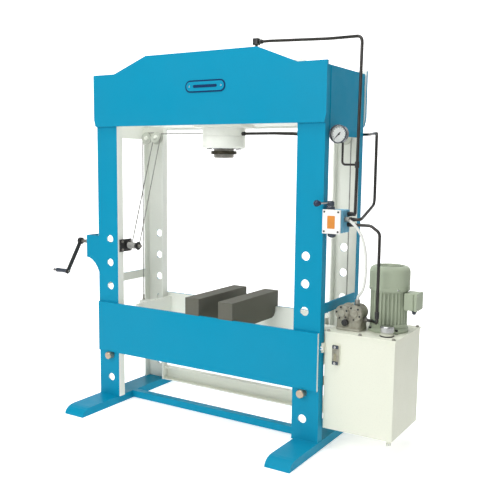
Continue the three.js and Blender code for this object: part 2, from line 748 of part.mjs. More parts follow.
/** Fall sheave level with the top of the riser sheave it takes its rope from. */
const fallCentre = (sx, [, y, z]) => [
  sx * FALL_SHEAVE_X,
  y + ROPE_WRAP_R * TILT_SIN,
  z + ROPE_WRAP_R * TILT_COS - ROPE_WRAP_R,
];
const fallLeft = fallCentre(-1, toLeft);
const fallRight = fallCentre(1, toRight);
add("sheave_riser_left", sheave(toLeft, RISER_TILT), BLACK);
add("sheave_riser_right", sheave(toRight, RISER_TILT), BLACK);
add("sheave_fall_left", sheave(fallLeft), BLACK);
add("sheave_fall_right", sheave(fallRight), BLACK);

/** Plain axle with a head in front, along Y, leaning back by tilt. */
function axle([x, y, z], front, back, tilt = 0) {
  return bar("y", -front, back, 0, 0, AXLE_R, 16)
    .add(bar("y", -front - 4, -front + 1, 0, 0, AXLE_R + 4, 16))
    .rotate([-THREE.MathUtils.radToDeg(tilt), 0, 0])
    .translate([x, y, z]);
}
function hanger(x0, x1, made) {
  return made.add(
    box(x0, x1, HANGER_Y, HANGER_Y + HANGER_SHEET, SHEAVE_Z - 36, HEAD_BOTTOM_Z + 8),
  );
}
const sideInner = HALF - SIDE_SHEET - GAP;
const axleFront = SHEAVE_WIDTH / 2 + 1;
add(
  "sheave_hanger_left",
  hanger(
    -sideInner,
    RISER_SHEAVE_X + 22,
    axle(fallLeft, axleFront, HANGER_Y + 3 - fallLeft[1]).add(
      axle(riserCentre(0), SHEAVE_PITCH / 2 + axleFront, 37, RISER_TILT),
    ),
  ),
  WHITE,
);
add(
  "sheave_hanger_right",
  hanger(
    FALL_SHEAVE_X - 25,
    sideInner,
    axle(fallRight, axleFront, HANGER_Y + 3 - fallRight[1]),
  ),
  WHITE,
);
const drumExit = [
  SHAFT_Y + DRUM_WRAP_R * TILT_COS,
  SHAFT_Z - DRUM_WRAP_R * TILT_SIN,
];
/** Angle by which a riser leans sideways from the drum to its sheave. */
const sideLean = (drumX, topX) =>
  THREE.MathUtils.radToDeg(Math.atan2(drumX - topX, (SHEAVE_Z - drumExit[1]) / TILT_COS));
const FALL_START = 20; // the falls begin this far below the sheave axles
const leftLean = sideLean(DRUM_TO_LEFT_X, RISER_SHEAVE_X + ROPE_WRAP_R);
add(
  "rope_left",
  tube(
    [
      [DRUM_TO_LEFT_X, ...drumExit],
      ...wrapArc(toLeft, leftLean, 90, 8, RISER_TILT),
      ...wrapArc(fallLeft, 90, 180, 8),
      [-FALL_X, fallLeft[1], fallLeft[2] - FALL_START],
    ],
    ROPE_R, 3, 6, 1,
  ),
  STEEL,
);
const rightLean = sideLean(DRUM_TO_RIGHT_X, RISER_SHEAVE_X - ROPE_WRAP_R);
add(
  "rope_right",
  tube(
    [
      [DRUM_TO_RIGHT_X, ...drumExit],
      ...wrapArc(toRight, 180 + rightLean, 90, 9, RISER_TILT),
      ...wrapArc(fallRight, 90, 0, 8),
      [FALL_X, fallRight[1], fallRight[2] - FALL_START],
    ],
    ROPE_R, 3, 6, 1,
  ),
  STEEL,
);
const fallBottom = BED_TOP_Z - LUG_DROP + GAP;
for (const [side, sx, at] of [["left", -1, fallLeft], ["right", 1, fallRight]])
  add(
    `rope_fall_${side}`,
    bar("z", fallBottom, at[2] - FALL_START - GAP, sx * FALL_X, at[1], ROPE_R, 8),
    STEEL,
  );

// ---------------------------------------------------------------- power pack
const tank = box(TANK_X, TANK_RIGHT_X, TANK_Y, TANK_REAR_Y, TANK_Z, TANK_TOP_Z).subtract(
  box(
    TANK_X + TANK_WALL, TANK_RIGHT_X - TANK_WALL,
    TANK_Y + TANK_WALL, TANK_REAR_Y - TANK_WALL,
    TANK_Z + TANK_WALL, TANK_TOP_Z + 5,
  ),
);
const tankHanger = box(HALF + GAP, TANK_X + 1, 14, FRAME_DEPTH - 14, TANK_TOP_Z - 91, TANK_TOP_Z - 47).add(
  bar("y", 6, 16, HALF + 4, TANK_TOP_Z - 69, 3.6, 16),
);
const drain = bar("z", TANK_Z - 20, TANK_Z + 1, TANK_RIGHT_X - 26, TANK_Y + 34, 9, 16).add(
  bar("z", TANK_Z - 30, TANK_Z - 20, TANK_RIGHT_X - 26, TANK_Y + 34, 12, 6),
);
const sight = box(TANK_X + 43, TANK_X + 77, TANK_Y - 11, TANK_Y + 1, TANK_TOP_Z - 141, TANK_TOP_Z - 47);
add("tank_body", tank.add(tankHanger).add(drain).add(sight), TANK);
const motorHole = bar("z", LID_Z - 2, LID_TOP_Z + 2, MOTOR_X, MOTOR_Y, PUMP_R - 6, 28);
let lid = box(TANK_X - 2, TANK_RIGHT_X + 4, TANK_Y - 4, TANK_REAR_Y + 4, LID_Z, LID_TOP_Z).subtract(motorHole);
for (const bx of [TANK_X + 14, TANK_X + TANK_WIDTH / 2, TANK_RIGHT_X - 10])
  for (const by of [TANK_Y + 8, TANK_REAR_Y - 8])
    lid = lid.add(bar("z", LID_TOP_Z - 2, LID_TOP_Z + 5, bx, by, 7, 6));
const neck = turned(
  [[17, -2], [31, -2], [31, 10], [24, 14], [24, 26], [17, 26]], 20,
).translate([FILLER.x, FILLER.y, LID_TOP_Z]);
const neckBore = bar("z", LID_Z - 2, LID_TOP_Z + 2, FILLER.x, FILLER.y, 17, 20);
add("tank_lid", lid.subtract(neckBore).add(neck), TANK);
const flange = turned([
  [PUMP_R, 0], [MOTOR_FLANGE_R, 0], [MOTOR_FLANGE_R, 12], [MOTOR_R - 4, 23], [PUMP_R, 23],
], 24).translate([MOTOR_X, MOTOR_Y, LID_TOP_Z + GAP]);
const finned = [];
for (let i = 0; i < FINS; i++) {
  const a = (2 * Math.PI * i) / FINS;
  const step = (2 * Math.PI) / FINS;
  for (const [f, r] of [[0, MOTOR_R], [0.35, MOTOR_R], [0.5, MOTOR_R - 7], [0.85, MOTOR_R - 7]])
    finned.push([r * Math.cos(a + f * step), r * Math.sin(a + f * step)]);
}
const motorBody = slab("z", finned, MOTOR_Z - 2, MOTOR_TOP_Z)
  .translate([MOTOR_X, MOTOR_Y, 0])
  .add(bar("z", MOTOR_TOP_Z - 18, MOTOR_TOP_Z, MOTOR_X, MOTOR_Y, MOTOR_R + 1, 24))
  .add(bar("z", MOTOR_Z, MOTOR_Z + 16, MOTOR_X, MOTOR_Y, MOTOR_R + 1, 24))
  .add(flange)
  .subtract(bar("z", MOTOR_Z + 14, MOTOR_TOP_Z - 12, MOTOR_X, MOTOR_Y, MOTOR_BORE, 24))
  .subtract(bar("z", MOTOR_Z - 5, MOTOR_TOP_Z + 5, MOTOR_X, MOTOR_Y, SPINDLE_R + GAP, 16));
add("motor_body", motorBody, MOTOR);
let rotor = bar("z", TANK_TOP_Z - 41, COWL_TOP_Z - 25, MOTOR_X, MOTOR_Y, SPINDLE_R, 16)
  .add(bar("z", MOTOR_Z + 34, MOTOR_TOP_Z - 34, MOTOR_X, MOTOR_Y, MOTOR_BORE - 5, 24))
  .add(bar("z", MOTOR_TOP_Z + 14, MOTOR_TOP_Z + 19, MOTOR_X, MOTOR_Y, 72, 24));
for (let i = 0; i < 6; i++)
  rotor = rotor.add(
    box(10, 70, -2, 2, MOTOR_TOP_Z + 18, MOTOR_TOP_Z + 46)
      .rotate([0, 0, 60 * i])
      .translate([MOTOR_X, MOTOR_Y, 0]),
  );
add("motor_rotor", rotor, STEEL);
let cowl = turned([
  [COWL_R - 3, MOTOR_TOP_Z - 12], [COWL_R, MOTOR_TOP_Z - 12],
  [COWL_R, COWL_TOP_Z - 26], [COWL_R - 8, COWL_TOP_Z - 9], [COWL_R - 26, COWL_TOP_Z],
  [0, COWL_TOP_Z], [0, COWL_TOP_Z - 3], [COWL_R - 27, COWL_TOP_Z - 3],
  [COWL_R - 11, COWL_TOP_Z - 11], [COWL_R - 3, COWL_TOP_Z - 27],
], 28).translate([MOTOR_X, MOTOR_Y, 0]);
for (let i = 0; i < 8; i++)
  cowl = cowl.subtract(
    box(26, 58, -3.5, 3.5, COWL_TOP_Z - 8, COWL_TOP_Z + 4)
      .rotate([0, 0, 45 * i])
      .translate([MOTOR_X, MOTOR_Y, 0]),
  );
for (let i = 0; i < 4; i++)
  cowl = cowl.add(
    box(MOTOR_R + 1 + GAP, COWL_R - 1, -5, 5, MOTOR_TOP_Z - 11, MOTOR_TOP_Z - 3)
      .rotate([0, 0, 90 * i + 45])
      .translate([MOTOR_X, MOTOR_Y, 0]),
  );
add("fan_cowl", cowl, MOTOR);
add(
  "terminal_box",
  box(MOTOR_X + MOTOR_R + GAP, MOTOR_X + 148, MOTOR_Y - 46, MOTOR_Y + 46, MOTOR_Z + 86, MOTOR_Z + 168).add(
    bar("z", MOTOR_Z + 64, MOTOR_Z + 88, MOTOR_X + 122, MOTOR_Y, 12, 6),
  ),
  MOTOR,
);
add(
  "pump",
  bar("z", TANK_TOP_Z - 131, LID_Z - GAP, MOTOR_X, MOTOR_Y, PUMP_R, 28)
    .subtract(bar("z", TANK_TOP_Z - 46, LID_Z + 5, MOTOR_X, MOTOR_Y, SPINDLE_R + 2, 20))
    .add(box(MOTOR_X - 55, MOTOR_X + 20, MOTOR_Y - 20, MOTOR_Y + 20, TANK_TOP_Z - 131, TANK_TOP_Z - 71)),
  CAST,
);
const blockX = TANK_X + 24;
const manifoldZ = LID_TOP_Z + GAP;
add(
  "manifold_block",
  box(blockX, blockX + 122, TANK_Y + 61, TANK_Y + 151, manifoldZ, manifoldZ + 74)
    .add(bar("y", TANK_Y + 49, TANK_Y + 145, blockX + 33, manifoldZ + 82, 36, 24))
    .add(bar("y", TANK_Y + 55, TANK_Y + 141, blockX + 92, manifoldZ + 84, 38, 24))
    .add(bar("y", TANK_Y + 43, TANK_Y + 63, blockX + 50, manifoldZ + 38, 16, 18))
    .add(bar("x", blockX + 115, blockX + 140, TANK_Y + 105, manifoldZ + 52, 13, 6)),
  CAST,
);
add(
  "filler_cap",
  turned([[0, 27], [24.4, 27], [24.4, 18], [31, 18], [31, 48], [28, 52], [0, 52]], 24).translate([
    FILLER.x, FILLER.y, LID_TOP_Z,
  ]),
  BRIGHT,
);

// --------------------------------------------------------------------- valve
const vx1 = VALVE_X + VALVE_WIDTH;
let valveBody = box(
  VALVE_X, vx1,
  VALVE_Y + VALVE_FACE - 1, VALVE_Y + VALVE_DEPTH,
  VALVE_Z + 3, VALVE_TOP_Z - 2,
)
  .add(box(VALVE_X, vx1, VALVE_Y, VALVE_Y + VALVE_FACE, VALVE_Z, VALVE_TOP_Z))
  .add(box(HALF + GAP, VALVE_X + 1, 4, VALVE_Y + VALVE_DEPTH - 4, VALVE_Z + 12, VALVE_TOP_Z - 12))
  .add(bar("z", VALVE_TOP_Z - 3, LEVER_Z - 13, HUB_X, HUB_Y, 20, 28))
  .add(bar("z", VALVE_Z - 20, VALVE_Z + 4, HUB_X + 6, HUB_Y + 8, 20, 28));
const portZ = [VALVE_TOP_Z - 22, VALVE_TOP_Z - 46, VALVE_TOP_Z - 70];
for (const z of portZ)
  valveBody = valveBody.add(bar("x", vx1 - 2, vx1 + 16, PORT_Y, z, 10, 6));
add("valve_body", valveBody, paint(0x9cc7d6, 0.45));
const leverDir = new THREE.Vector2(-62, -92).normalize();
const leverEnd = [HUB_X + leverDir.x * LEVER_REACH, HUB_Y + leverDir.y * LEVER_REACH];
const knob = turned(
  [[0, -20], [9, -17], [15, -7], [16, 3], [11, 14], [5, 17], [0, 18]], 24,
)
  .rotate([90, 0, 0])
  .rotate([0, 0, -THREE.MathUtils.radToDeg(Math.atan2(-leverDir.x, -leverDir.y))])
  .translate([leverEnd[0] + leverDir.x * 16, leverEnd[1] + leverDir.y * 16, LEVER_Z]);
add(
  "valve_lever",
  bar("z", LEVER_Z - 13 + GAP, LEVER_Z + 11, HUB_X, HUB_Y, 17, 28)
    .add(tube([[HUB_X, HUB_Y, LEVER_Z], [leverEnd[0], leverEnd[1], LEVER_Z]], 4.5, 1, 12))
    .add(knob),
  BLACK,
);

// --------------------------------------------------------------------- gauge
const gaugeBack = GAUGE_Y + GAUGE_DEPTH;
/** Turned piece about the gauge axis, from [radius, depth behind the rim]. */
const onGauge = (profile, sides = 40) =>
  turned(profile, sides).rotate([-90, 0, 0]).translate([GAUGE_X, GAUGE_Y, GAUGE_Z]);
add(
  "gauge_case",
  onGauge([
    [0, GAUGE_DEPTH], [GAUGE_R - 4, GAUGE_DEPTH], [GAUGE_R - 1, GAUGE_DEPTH - 3],
    [GAUGE_R - 1, 6], [GAUGE_R, 5], [GAUGE_R, 0], [GAUGE_R - 4, 0],
    [GAUGE_R - 4, 16], [0, 16],
  ]),
  BLACK,
);
add(
  "gauge_needle",
  bar("y", GAUGE_Y + 10, GAUGE_Y + 15.7, GAUGE_X, GAUGE_Z, 4, 16)
    .add(
      slab(
        "y",
        [[-3, 0], [-1, 27], [1, 27], [3, 0], [1.6, -11], [-1.6, -11]],
        10,
        12,
      )
        .rotate([0, -135, 0])
        .translate([GAUGE_X, GAUGE_Y, GAUGE_Z]),
    ),
  BLACK,
);
// --------------------------------------------------------------------- pipes
const P1 = { x: PIPE_X, y: PORT_Y };
const capPipe = tube(
    [
      [BARREL_R - 6, MID_Y, PORT_TOP_Z],
      [ELBOW_X, MID_Y, PORT_TOP_Z],
      [ELBOW_X, MID_Y, RUN_Z - 10],
    ],
    PIPE_R, 26, 8, 4,
).add(box(ELBOW_X - 17, ELBOW_X + 17, MID_Y - 15, MID_Y + 15, RUN_Z - 16, RUN_Z + 18));
add("cylinder_cap", cap.add(capPipe), WHITE);
const valveStart = vx1 + 16 + GAP;
add(
  "pressure_pipe",
  tube(
    [
      [ELBOW_X + 17 + GAP, MID_Y, RUN_Z],
      [ELBOW_X + 70, MID_Y, RUN_Z],
      [HALF - 65, MID_Y - 60, RUN_Z - 25],
      [P1.x + 2, P1.y + 16, RUN_Z - 38],
      [P1.x, PORT_Y, portZ[0]],
      [valveStart, PORT_Y, portZ[0]],
    ],
    PIPE_R, 32, 8, 4,
  ).add(
    tube(
      [
        [P1.x, P1.y, GAUGE_Z - 135],
        [GAUGE_X, gaugeBack + 24, GAUGE_Z - 135],
        [GAUGE_X, gaugeBack + 24, GAUGE_Z],
        [GAUGE_X, gaugeBack + GAP, GAUGE_Z],
      ],
      5, 16, 8, 3,
    ),
  ),
  BLACK,
);
const P2 = { x: PIPE_X, y: FRAME_DEPTH - 135 };
add(
  "return_pipe",
  tube(
    [
      [valveStart, PORT_Y, portZ[1]],
      [P2.x + 26, PORT_Y, portZ[1]],
      [P2.x + 18, PORT_Y + 45, portZ[1] + 6],
      [P2.x, P2.y, portZ[1] + 60],
      [P2.x, P2.y, PORT_LOW_Z - 14],
      [P2.x - 10, P2.y + 24, PORT_LOW_Z],
      [HALF + 15, FRAME_DEPTH + 44, PORT_LOW_Z],
      [BARREL_R + 308, FRAME_DEPTH + 44, PORT_LOW_Z],
      [BARREL_R + 188, MID_Y, PORT_LOW_Z],
      [BARREL_R + GAP, MID_Y, PORT_LOW_Z],
    ],
    PIPE_R, 40, 8, 4,
  ),
  BLACK,
);
const P3 = { x: PIPE_X + 121, y: PORT_Y - 1 };
add(
  "pump_pipe",
  tube(
    [
      [valveStart, PORT_Y, portZ[2]],
      [P3.x - 44, PORT_Y, portZ[2]],
      [P3.x, P3.y, portZ[2] - 30],
      [P3.x, P3.y, LID_TOP_Z + 109.7],
      [P3.x, P3.y + 4, manifoldZ + 56],
      [blockX + 168, TANK_Y + 105, manifoldZ + 52],
      [blockX + 140 + GAP, TANK_Y + 105, manifoldZ + 52],
    ],
    PIPE_R, 30, 8, 4,
  ).add(bar("z", LID_TOP_Z + 79.7, LID_TOP_Z + 119.7, P3.x, P3.y, 10, 6)),
  BLACK,
);
add(
  "return_hose",
  tube(
    [
      [vx1 + GAP, PORT_Y - 38, VALVE_TOP_Z - 44],
      [vx1 + 24, PORT_Y - 38, VALVE_TOP_Z - 44],
      [vx1 + 80, TANK_Y + 25, VALVE_TOP_Z - 110],
      [vx1 + 94, TANK_Y + 37, VALVE_TOP_Z - 230],
      [vx1 + 88, TANK_Y + 45, LID_TOP_Z + 240],
      [vx1 + 62, TANK_Y + 72, LID_TOP_Z + 180],
      [blockX + 92, TANK_Y + 95, manifoldZ + 84 + 38 + 44],
      [blockX + 92, TANK_Y + 95, manifoldZ + 84 + 38 + GAP],
    ],
    HOSE_R, 60, 8, 4,
  ),
  paint(0xc9cbc0, 0.6),
);

// --------------------------------------------------------- origin of the part
const root = new THREE.Group();
const outline = new THREE.Box3().setFromObject(press);
const centre = outline.getCenter(new THREE.Vector3());
press.position.set(-Math.round(centre.x), -Math.round(centre.y), 0);
root.add(press);
export default root;
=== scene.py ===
"""Looks of a hydraulic workshop press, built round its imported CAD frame.

Each sub-assembly is a class that makes its surfaces with numpy and dresses them
in finishes. Places on the press, turned profiles and their easing are in its own
millimetres; at() and lathe() turn them into metres of the row frame. Flat
outlines, their spans and bevels, and the radii of bars are in metres.
"""

from __future__ import annotations

import json
import logging
import math
from dataclasses import dataclass, field, replace
from enum import Enum
from typing import Any, Callable, Iterable, Sequence

import bmesh
import bpy
import numpy as np
from mathutils import Matrix, Vector

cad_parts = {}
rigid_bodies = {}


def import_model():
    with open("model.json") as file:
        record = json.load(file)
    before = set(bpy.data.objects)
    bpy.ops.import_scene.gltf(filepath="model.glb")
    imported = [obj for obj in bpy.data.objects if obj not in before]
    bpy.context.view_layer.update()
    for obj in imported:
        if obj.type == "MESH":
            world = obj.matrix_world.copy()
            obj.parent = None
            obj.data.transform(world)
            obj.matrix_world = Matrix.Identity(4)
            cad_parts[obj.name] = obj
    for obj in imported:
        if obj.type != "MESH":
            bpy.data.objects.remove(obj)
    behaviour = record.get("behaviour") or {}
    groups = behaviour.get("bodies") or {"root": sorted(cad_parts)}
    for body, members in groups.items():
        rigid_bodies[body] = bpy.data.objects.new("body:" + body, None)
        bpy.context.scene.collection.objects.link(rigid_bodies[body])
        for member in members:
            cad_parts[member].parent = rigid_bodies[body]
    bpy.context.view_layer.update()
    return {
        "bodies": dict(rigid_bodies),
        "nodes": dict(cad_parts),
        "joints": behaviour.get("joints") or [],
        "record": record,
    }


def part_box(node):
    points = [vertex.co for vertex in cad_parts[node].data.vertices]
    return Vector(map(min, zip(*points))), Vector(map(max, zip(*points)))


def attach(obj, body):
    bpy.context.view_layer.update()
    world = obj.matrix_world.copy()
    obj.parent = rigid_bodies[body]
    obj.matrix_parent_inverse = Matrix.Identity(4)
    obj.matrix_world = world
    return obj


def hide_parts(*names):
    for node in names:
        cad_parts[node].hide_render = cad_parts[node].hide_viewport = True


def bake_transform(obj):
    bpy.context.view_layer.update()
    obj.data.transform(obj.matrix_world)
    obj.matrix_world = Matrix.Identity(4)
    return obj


LOG = logging.getLogger("press")
MM = 0.001

Point = tuple[float, float, float]
Array = np.ndarray
Profile = Sequence[tuple[float, float]] | Array
ORIGIN = (0.0, 0.0, 0.0)
SHARP_EDGE = math.radians(32)
SAME_POINT = 1e-6


class Axis(Enum):
    """Direction that a turned piece's axis takes in the row frame."""

    X = (0.0, 1.0, 0.0, 0.0, 0.0, 1.0, 1.0, 0.0, 0.0)
    Y = (1.0, 0.0, 0.0, 0.0, 0.0, 1.0, 0.0, 1.0, 0.0)
    Z = (1.0, 0.0, 0.0, 0.0, 1.0, 0.0, 0.0, 0.0, 1.0)

    def turn(self) -> Array:
        """Matrix whose columns are the piece's two radial axes and its own axis."""
        return np.array(self.value).reshape(3, 3).T


class Body(Enum):
    """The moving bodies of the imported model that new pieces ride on."""

    FRAME = "frame"
    RAM = "ram"
    BED = "bed"
    WINCH = "winch"
    GRIP = "grip"
    LEVER = "lever"
    NEEDLE = "needle"
    BREATHER = "breather"
    PIN_LEFT = "pin_left"
    PIN_RIGHT = "pin_right"
    RISER_LEFT = "sheave_riser_left"
    RISER_RIGHT = "sheave_riser_right"
    FALL_LEFT = "sheave_fall_left"
    FALL_RIGHT = "sheave_fall_right"


# --------------------------------------------------------------------- finishes
class Graph:
    """A material's node tree, with short calls for the nodes that finishes share."""

    def __init__(self, name: str) -> None:
        """Starts an empty material of that name with a Principled shader."""
        self.material = bpy.data.materials.new(name)
        self.material.use_nodes = True
        self.tree = self.material.node_tree
        self.tree.nodes.clear()
        self.shader = self.node("BsdfPrincipled")
        self.feed(self.node("OutputMaterial").inputs[0], self.shader.outputs[0])
        self.spot = self.node("TexCoord").outputs["Object"]

    def node(self, kind: str, **values: Any) -> Any:
        """New node of that kind, its sockets fed."""
        node = self.tree.nodes.new(f"ShaderNode{kind}")
        self.fill(node, values)
        return node

    def fill(self, node: Any, values: dict[str, Any]) -> None:
        """Feeds sockets by name; underscores in a name stand for spaces."""
        for key, value in values.items():
            self.feed(node.inputs[key.replace("_", " ")], value)

    def feed(self, socket: Any, value: Any) -> None:
        """Links an output to a socket, or sets the socket to a plain value."""
        if isinstance(value, bpy.types.NodeSocket):
            self.tree.links.new(value, socket)
        elif socket.type == "RGBA":
            socket.default_value = (*value, 1.0)
        else:
            socket.default_value = value

    def surface(self, **values: Any) -> None:
        """Feeds the Principled shader's sockets."""
        self.fill(self.shader, values)

    def noise(self, scale: float, detail: float = 3.0) -> Any:
        """Noise from 0 to 1 with features about 1/scale metres across."""
        return self.node("TexNoise", Vector=self.spot, Scale=scale, Detail=detail).outputs[0]

    def cells(self, scale: float) -> Any:
        """Distance to the nearest cell middle, cells about 1/scale metres across."""
        return self.node("TexVoronoi", Vector=self.spot, Scale=scale).outputs[0]

    def rings(self, scale: float, axis: str) -> Any:
        """Fine bands along an axis, as a lathe tool leaves them."""
        node = self.node("TexWave", Vector=self.spot, Scale=scale, Distortion=1.5)
        node.bands_direction = axis
        return node.outputs["Fac"]

    def math(self, kind: str, a: Any, b: Any = 0.0) -> Any:
        """One Math node of that kind."""
        node = self.node("Math")
        node.operation = kind
        for socket, value in zip(node.inputs, (a, b)):
            self.feed(socket, value)
        return node.outputs[0]

    def times(self, a: Any, b: Any) -> Any:
        """The product of two values."""
        return self.math("MULTIPLY", a, b)

    def over(self, a: Any, b: Any) -> Any:
        """1 where a is greater than b, else 0."""
        return self.math("GREATER_THAN", a, b)

    def span(self, value: Any, low: float, high: float, a: float, b: float) -> Any:
        """Maps value from low..high onto a..b, clamped."""
        node = self.node("MapRange")
        for socket, v in zip(node.inputs, (value, low, high, a, b)):
            self.feed(socket, v)
        return node.outputs[0]

    def mix(self, share: Any, a: Any, b: Any) -> Any:
        """Colour a turning into colour b as share goes from 0 to 1."""
        node = self.node("Mix")
        node.data_type = "RGBA"
        self.feed(node.inputs["Factor"], share)
        for socket, v in zip([s for s in node.inputs if s.type == "RGBA"], (a, b)):
            self.feed(socket, v)
        return [s for s in node.outputs if s.type == "RGBA"][0]

    def parts(self, vector: Any) -> list[Any]:
        """X, Y and Z of a vector."""
        return list(self.node("SeparateXYZ", Vector=vector).outputs)

    def here(self) -> list[Any]:
        """X, Y and Z of the surface point in the row frame."""
        return self.parts(self.spot)

    def facing(self) -> list[Any]:
        """X, Y and Z of the surface normal."""
        return self.parts(self.node("NewGeometry").outputs["Normal"])

    def bump(self, height: Any, strength: float, depth: float = 0.001) -> None:
        """Bump on the shader's normal."""
        node = self.node("Bump", Strength=strength, Distance=depth, Height=height)
        self.surface(Normal=node.outputs[0])


def srgb(red: int, green: int, blue: int) -> Point:
    """Linear colour from 8-bit display values."""
    v = np.array([red, green, blue]) / 255.0
    v = np.where(v <= 0.04045, v / 12.92, ((v + 0.055) / 1.055) ** 2.4)
    return (float(v[0]), float(v[1]), float(v[2]))


@dataclass(frozen=True)
class Finish:
    """A surface finish and the slot its pieces take; each kind builds its material once."""

    name: str
    slot: str

    def paint(self, graph: Graph) -> None:
        """Fills in the graph; each kind of finish does this its own way."""
        raise NotImplementedError

    def material(self) -> bpy.types.Material:
        """The material, made at its first use."""
        found = bpy.data.materials.get(self.name)
        if found is None:
            graph = Graph(self.name)
            self.paint(graph)
            found = graph.material
        return found


@dataclass(frozen=True)
class Enamel(Finish):
    """Sprayed enamel: faint orange peel, slight unevenness, a little shop dust."""

    colour: Point
    roughness: float = 0.34
    peel: float = 0.05
    gloss: float = 0.10

    def shade(self, g: Graph, colour: Any) -> Any:
        """The colour with its slow unevenness and its dust."""
        patchy = g.noise(2.2, 3.0)
        dull = g.mix(g.span(patchy, 0.3, 0.8, 0.0, 0.04), colour, (0.16, 0.24, 0.26))
        fine = g.noise(150.0, 2.0)
        return g.mix(g.span(fine, 0.55, 0.9, 0.0, 0.10), dull, (0.02, 0.05, 0.07))

    def skin(self, g: Graph) -> None:
        """Gloss and orange peel."""
        rough = g.span(g.noise(9.0, 5.0), 0.3, 0.7, self.roughness - 0.06, self.roughness + 0.1)
        g.surface(Roughness=rough, Specular_IOR_Level=self.gloss)
        g.bump(g.noise(420.0, 2.0), self.peel, 0.0006)

    def paint(self, graph: Graph) -> None:
        """One colour all over."""
        graph.surface(Base_Color=self.shade(graph, self.colour))
        self.skin(graph)


@dataclass(frozen=True)
class TwoTone(Enamel):
    """Frame paint: one colour outside, another on every face that looks inwards.

    Outer faces are those whose normal points away from the frame's middle, and,
    sideways, only where they lie on the frame's own flank.
    """

    inner: Point = (1.0, 1.0, 1.0)
    edges_inner: bool = False
    middle: tuple[float, float] = (-0.038, 0.0895)
    flank: float = 0.6838

    def paint(self, graph: Graph) -> None:
        """Picks the colour by which way each face looks."""
        g = graph
        x, y, _ = g.here()
        nx, ny, nz = g.facing()
        dx = g.math("SUBTRACT", x, self.middle[0])
        dy = g.math("SUBTRACT", y, self.middle[1])
        away_y = g.over(g.times(ny, g.math("SIGN", dy)), 0.5)
        out_x = g.over(g.times(nx, g.math("SIGN", dx)), 0.5)
        on_flank = g.over(g.math("ABSOLUTE", dx), self.flank)
        outer = g.math("MAXIMUM", away_y, g.times(out_x, on_flank))
        if not self.edges_inner:
            level = g.over(g.math("ABSOLUTE", nz), 0.5)
            outer = g.math("MAXIMUM", outer, level)
        g.surface(Base_Color=self.shade(g, g.mix(outer, self.inner, self.colour)))
        self.skin(g)


@dataclass(frozen=True)
class Metal(Finish):
    """Bare metal with tool marks, dulled in patches by oil and handling."""

    colour: Point
    stain: Point
    roughness: float = 0.3
    marks: float = 0.15
    axis: str = "Z"
    stained: float = 0.35
    pitch: float = 320.0
    metallic: float = 1.0

    def paint(self, graph: Graph) -> None:
        """Bands for the tool marks and noise for the stains."""
        g = graph
        patches = g.noise(22.0, 6.0)
        share = g.span(patches, 0.48, 0.72, 0.0, self.stained)
        g.surface(
            Base_Color=g.mix(share, self.colour, self.stain),
            Metallic=self.metallic,
            Roughness=g.span(patches, 0.3, 0.75, self.roughness, self.roughness + 0.22),
        )
        g.bump(g.rings(self.pitch, self.axis), self.marks, 0.0002)


@dataclass(frozen=True)
class BlockSteel(Finish):
    """Flame-cut press block: dark oiled scale, raw rusty sawn ends."""

    scale: Point
    raw: Point
    rust: Point
    sill: float = 0.586

    def paint(self, graph: Graph) -> None:
        """Scale on the sides, sawn steel with rust on the front and back ends."""
        g = graph
        _, y, z = g.here()
        _, ny, _ = g.facing()
        end = g.over(g.math("ABSOLUTE", ny), 0.6)
        raised = g.over(z, self.sill)
        share = g.times(end, raised)
        blotch = g.noise(46.0, 6.0)
        rust = g.mix(g.span(blotch, 0.42, 0.6, 0.0, 1.0), self.raw, self.rust)
        dark = g.mix(g.span(g.noise(12.0, 5.0), 0.45, 0.8, 0.0, 0.35), self.scale, self.rust)
        g.surface(
            Base_Color=g.mix(share, dark, rust),
            Metallic=0.0,
            Specular_IOR_Level=0.04,
            Roughness=g.span(blotch, 0.3, 0.7, 0.42, 0.65),
        )
        g.bump(g.noise(240.0, 5.0), 0.25, 0.0006)


@dataclass(frozen=True)
class Casting(Finish):
    """Sand-cast iron or alloy, painted thinly: pebbly, with darker hollows."""

    colour: Point
    hollow: Point
    grain: float = 320.0
    metallic: float = 0.2

    def paint(self, graph: Graph) -> None:
        """Pebble grain from cells and noise."""
        g = graph
        patch = g.noise(30.0, 5.0)
        g.surface(
            Base_Color=g.mix(g.span(patch, 0.4, 0.7, 0.0, 0.7), self.colour, self.hollow),
            Metallic=self.metallic,
            Roughness=g.span(patch, 0.3, 0.7, 0.5, 0.68),
        )
        g.bump(g.cells(self.grain), 0.3, 0.0006)


@dataclass(frozen=True)
class Moulded(Finish):
    """Moulded plastic, rubber or paint film with a fine even grain."""

    colour: Point
    roughness: float = 0.4
    grain: float = 900.0
    depth: float = 0.08

    def paint(self, graph: Graph) -> None:
        """Fine grain and a slight change of gloss from place to place."""
        g = graph
        slow = g.noise(24.0, 3.0)
        lighter = tuple(min(1.0, c * 1.25 + 0.01) for c in self.colour)
        g.surface(
            Base_Color=g.mix(g.span(slow, 0.35, 0.7, 0.0, 0.6), self.colour, lighter),
            Roughness=g.span(slow, 0.3, 0.7, self.roughness - 0.05, self.roughness + 0.08),
        )
        g.bump(g.noise(self.grain, 2.0), self.depth, 0.0003)


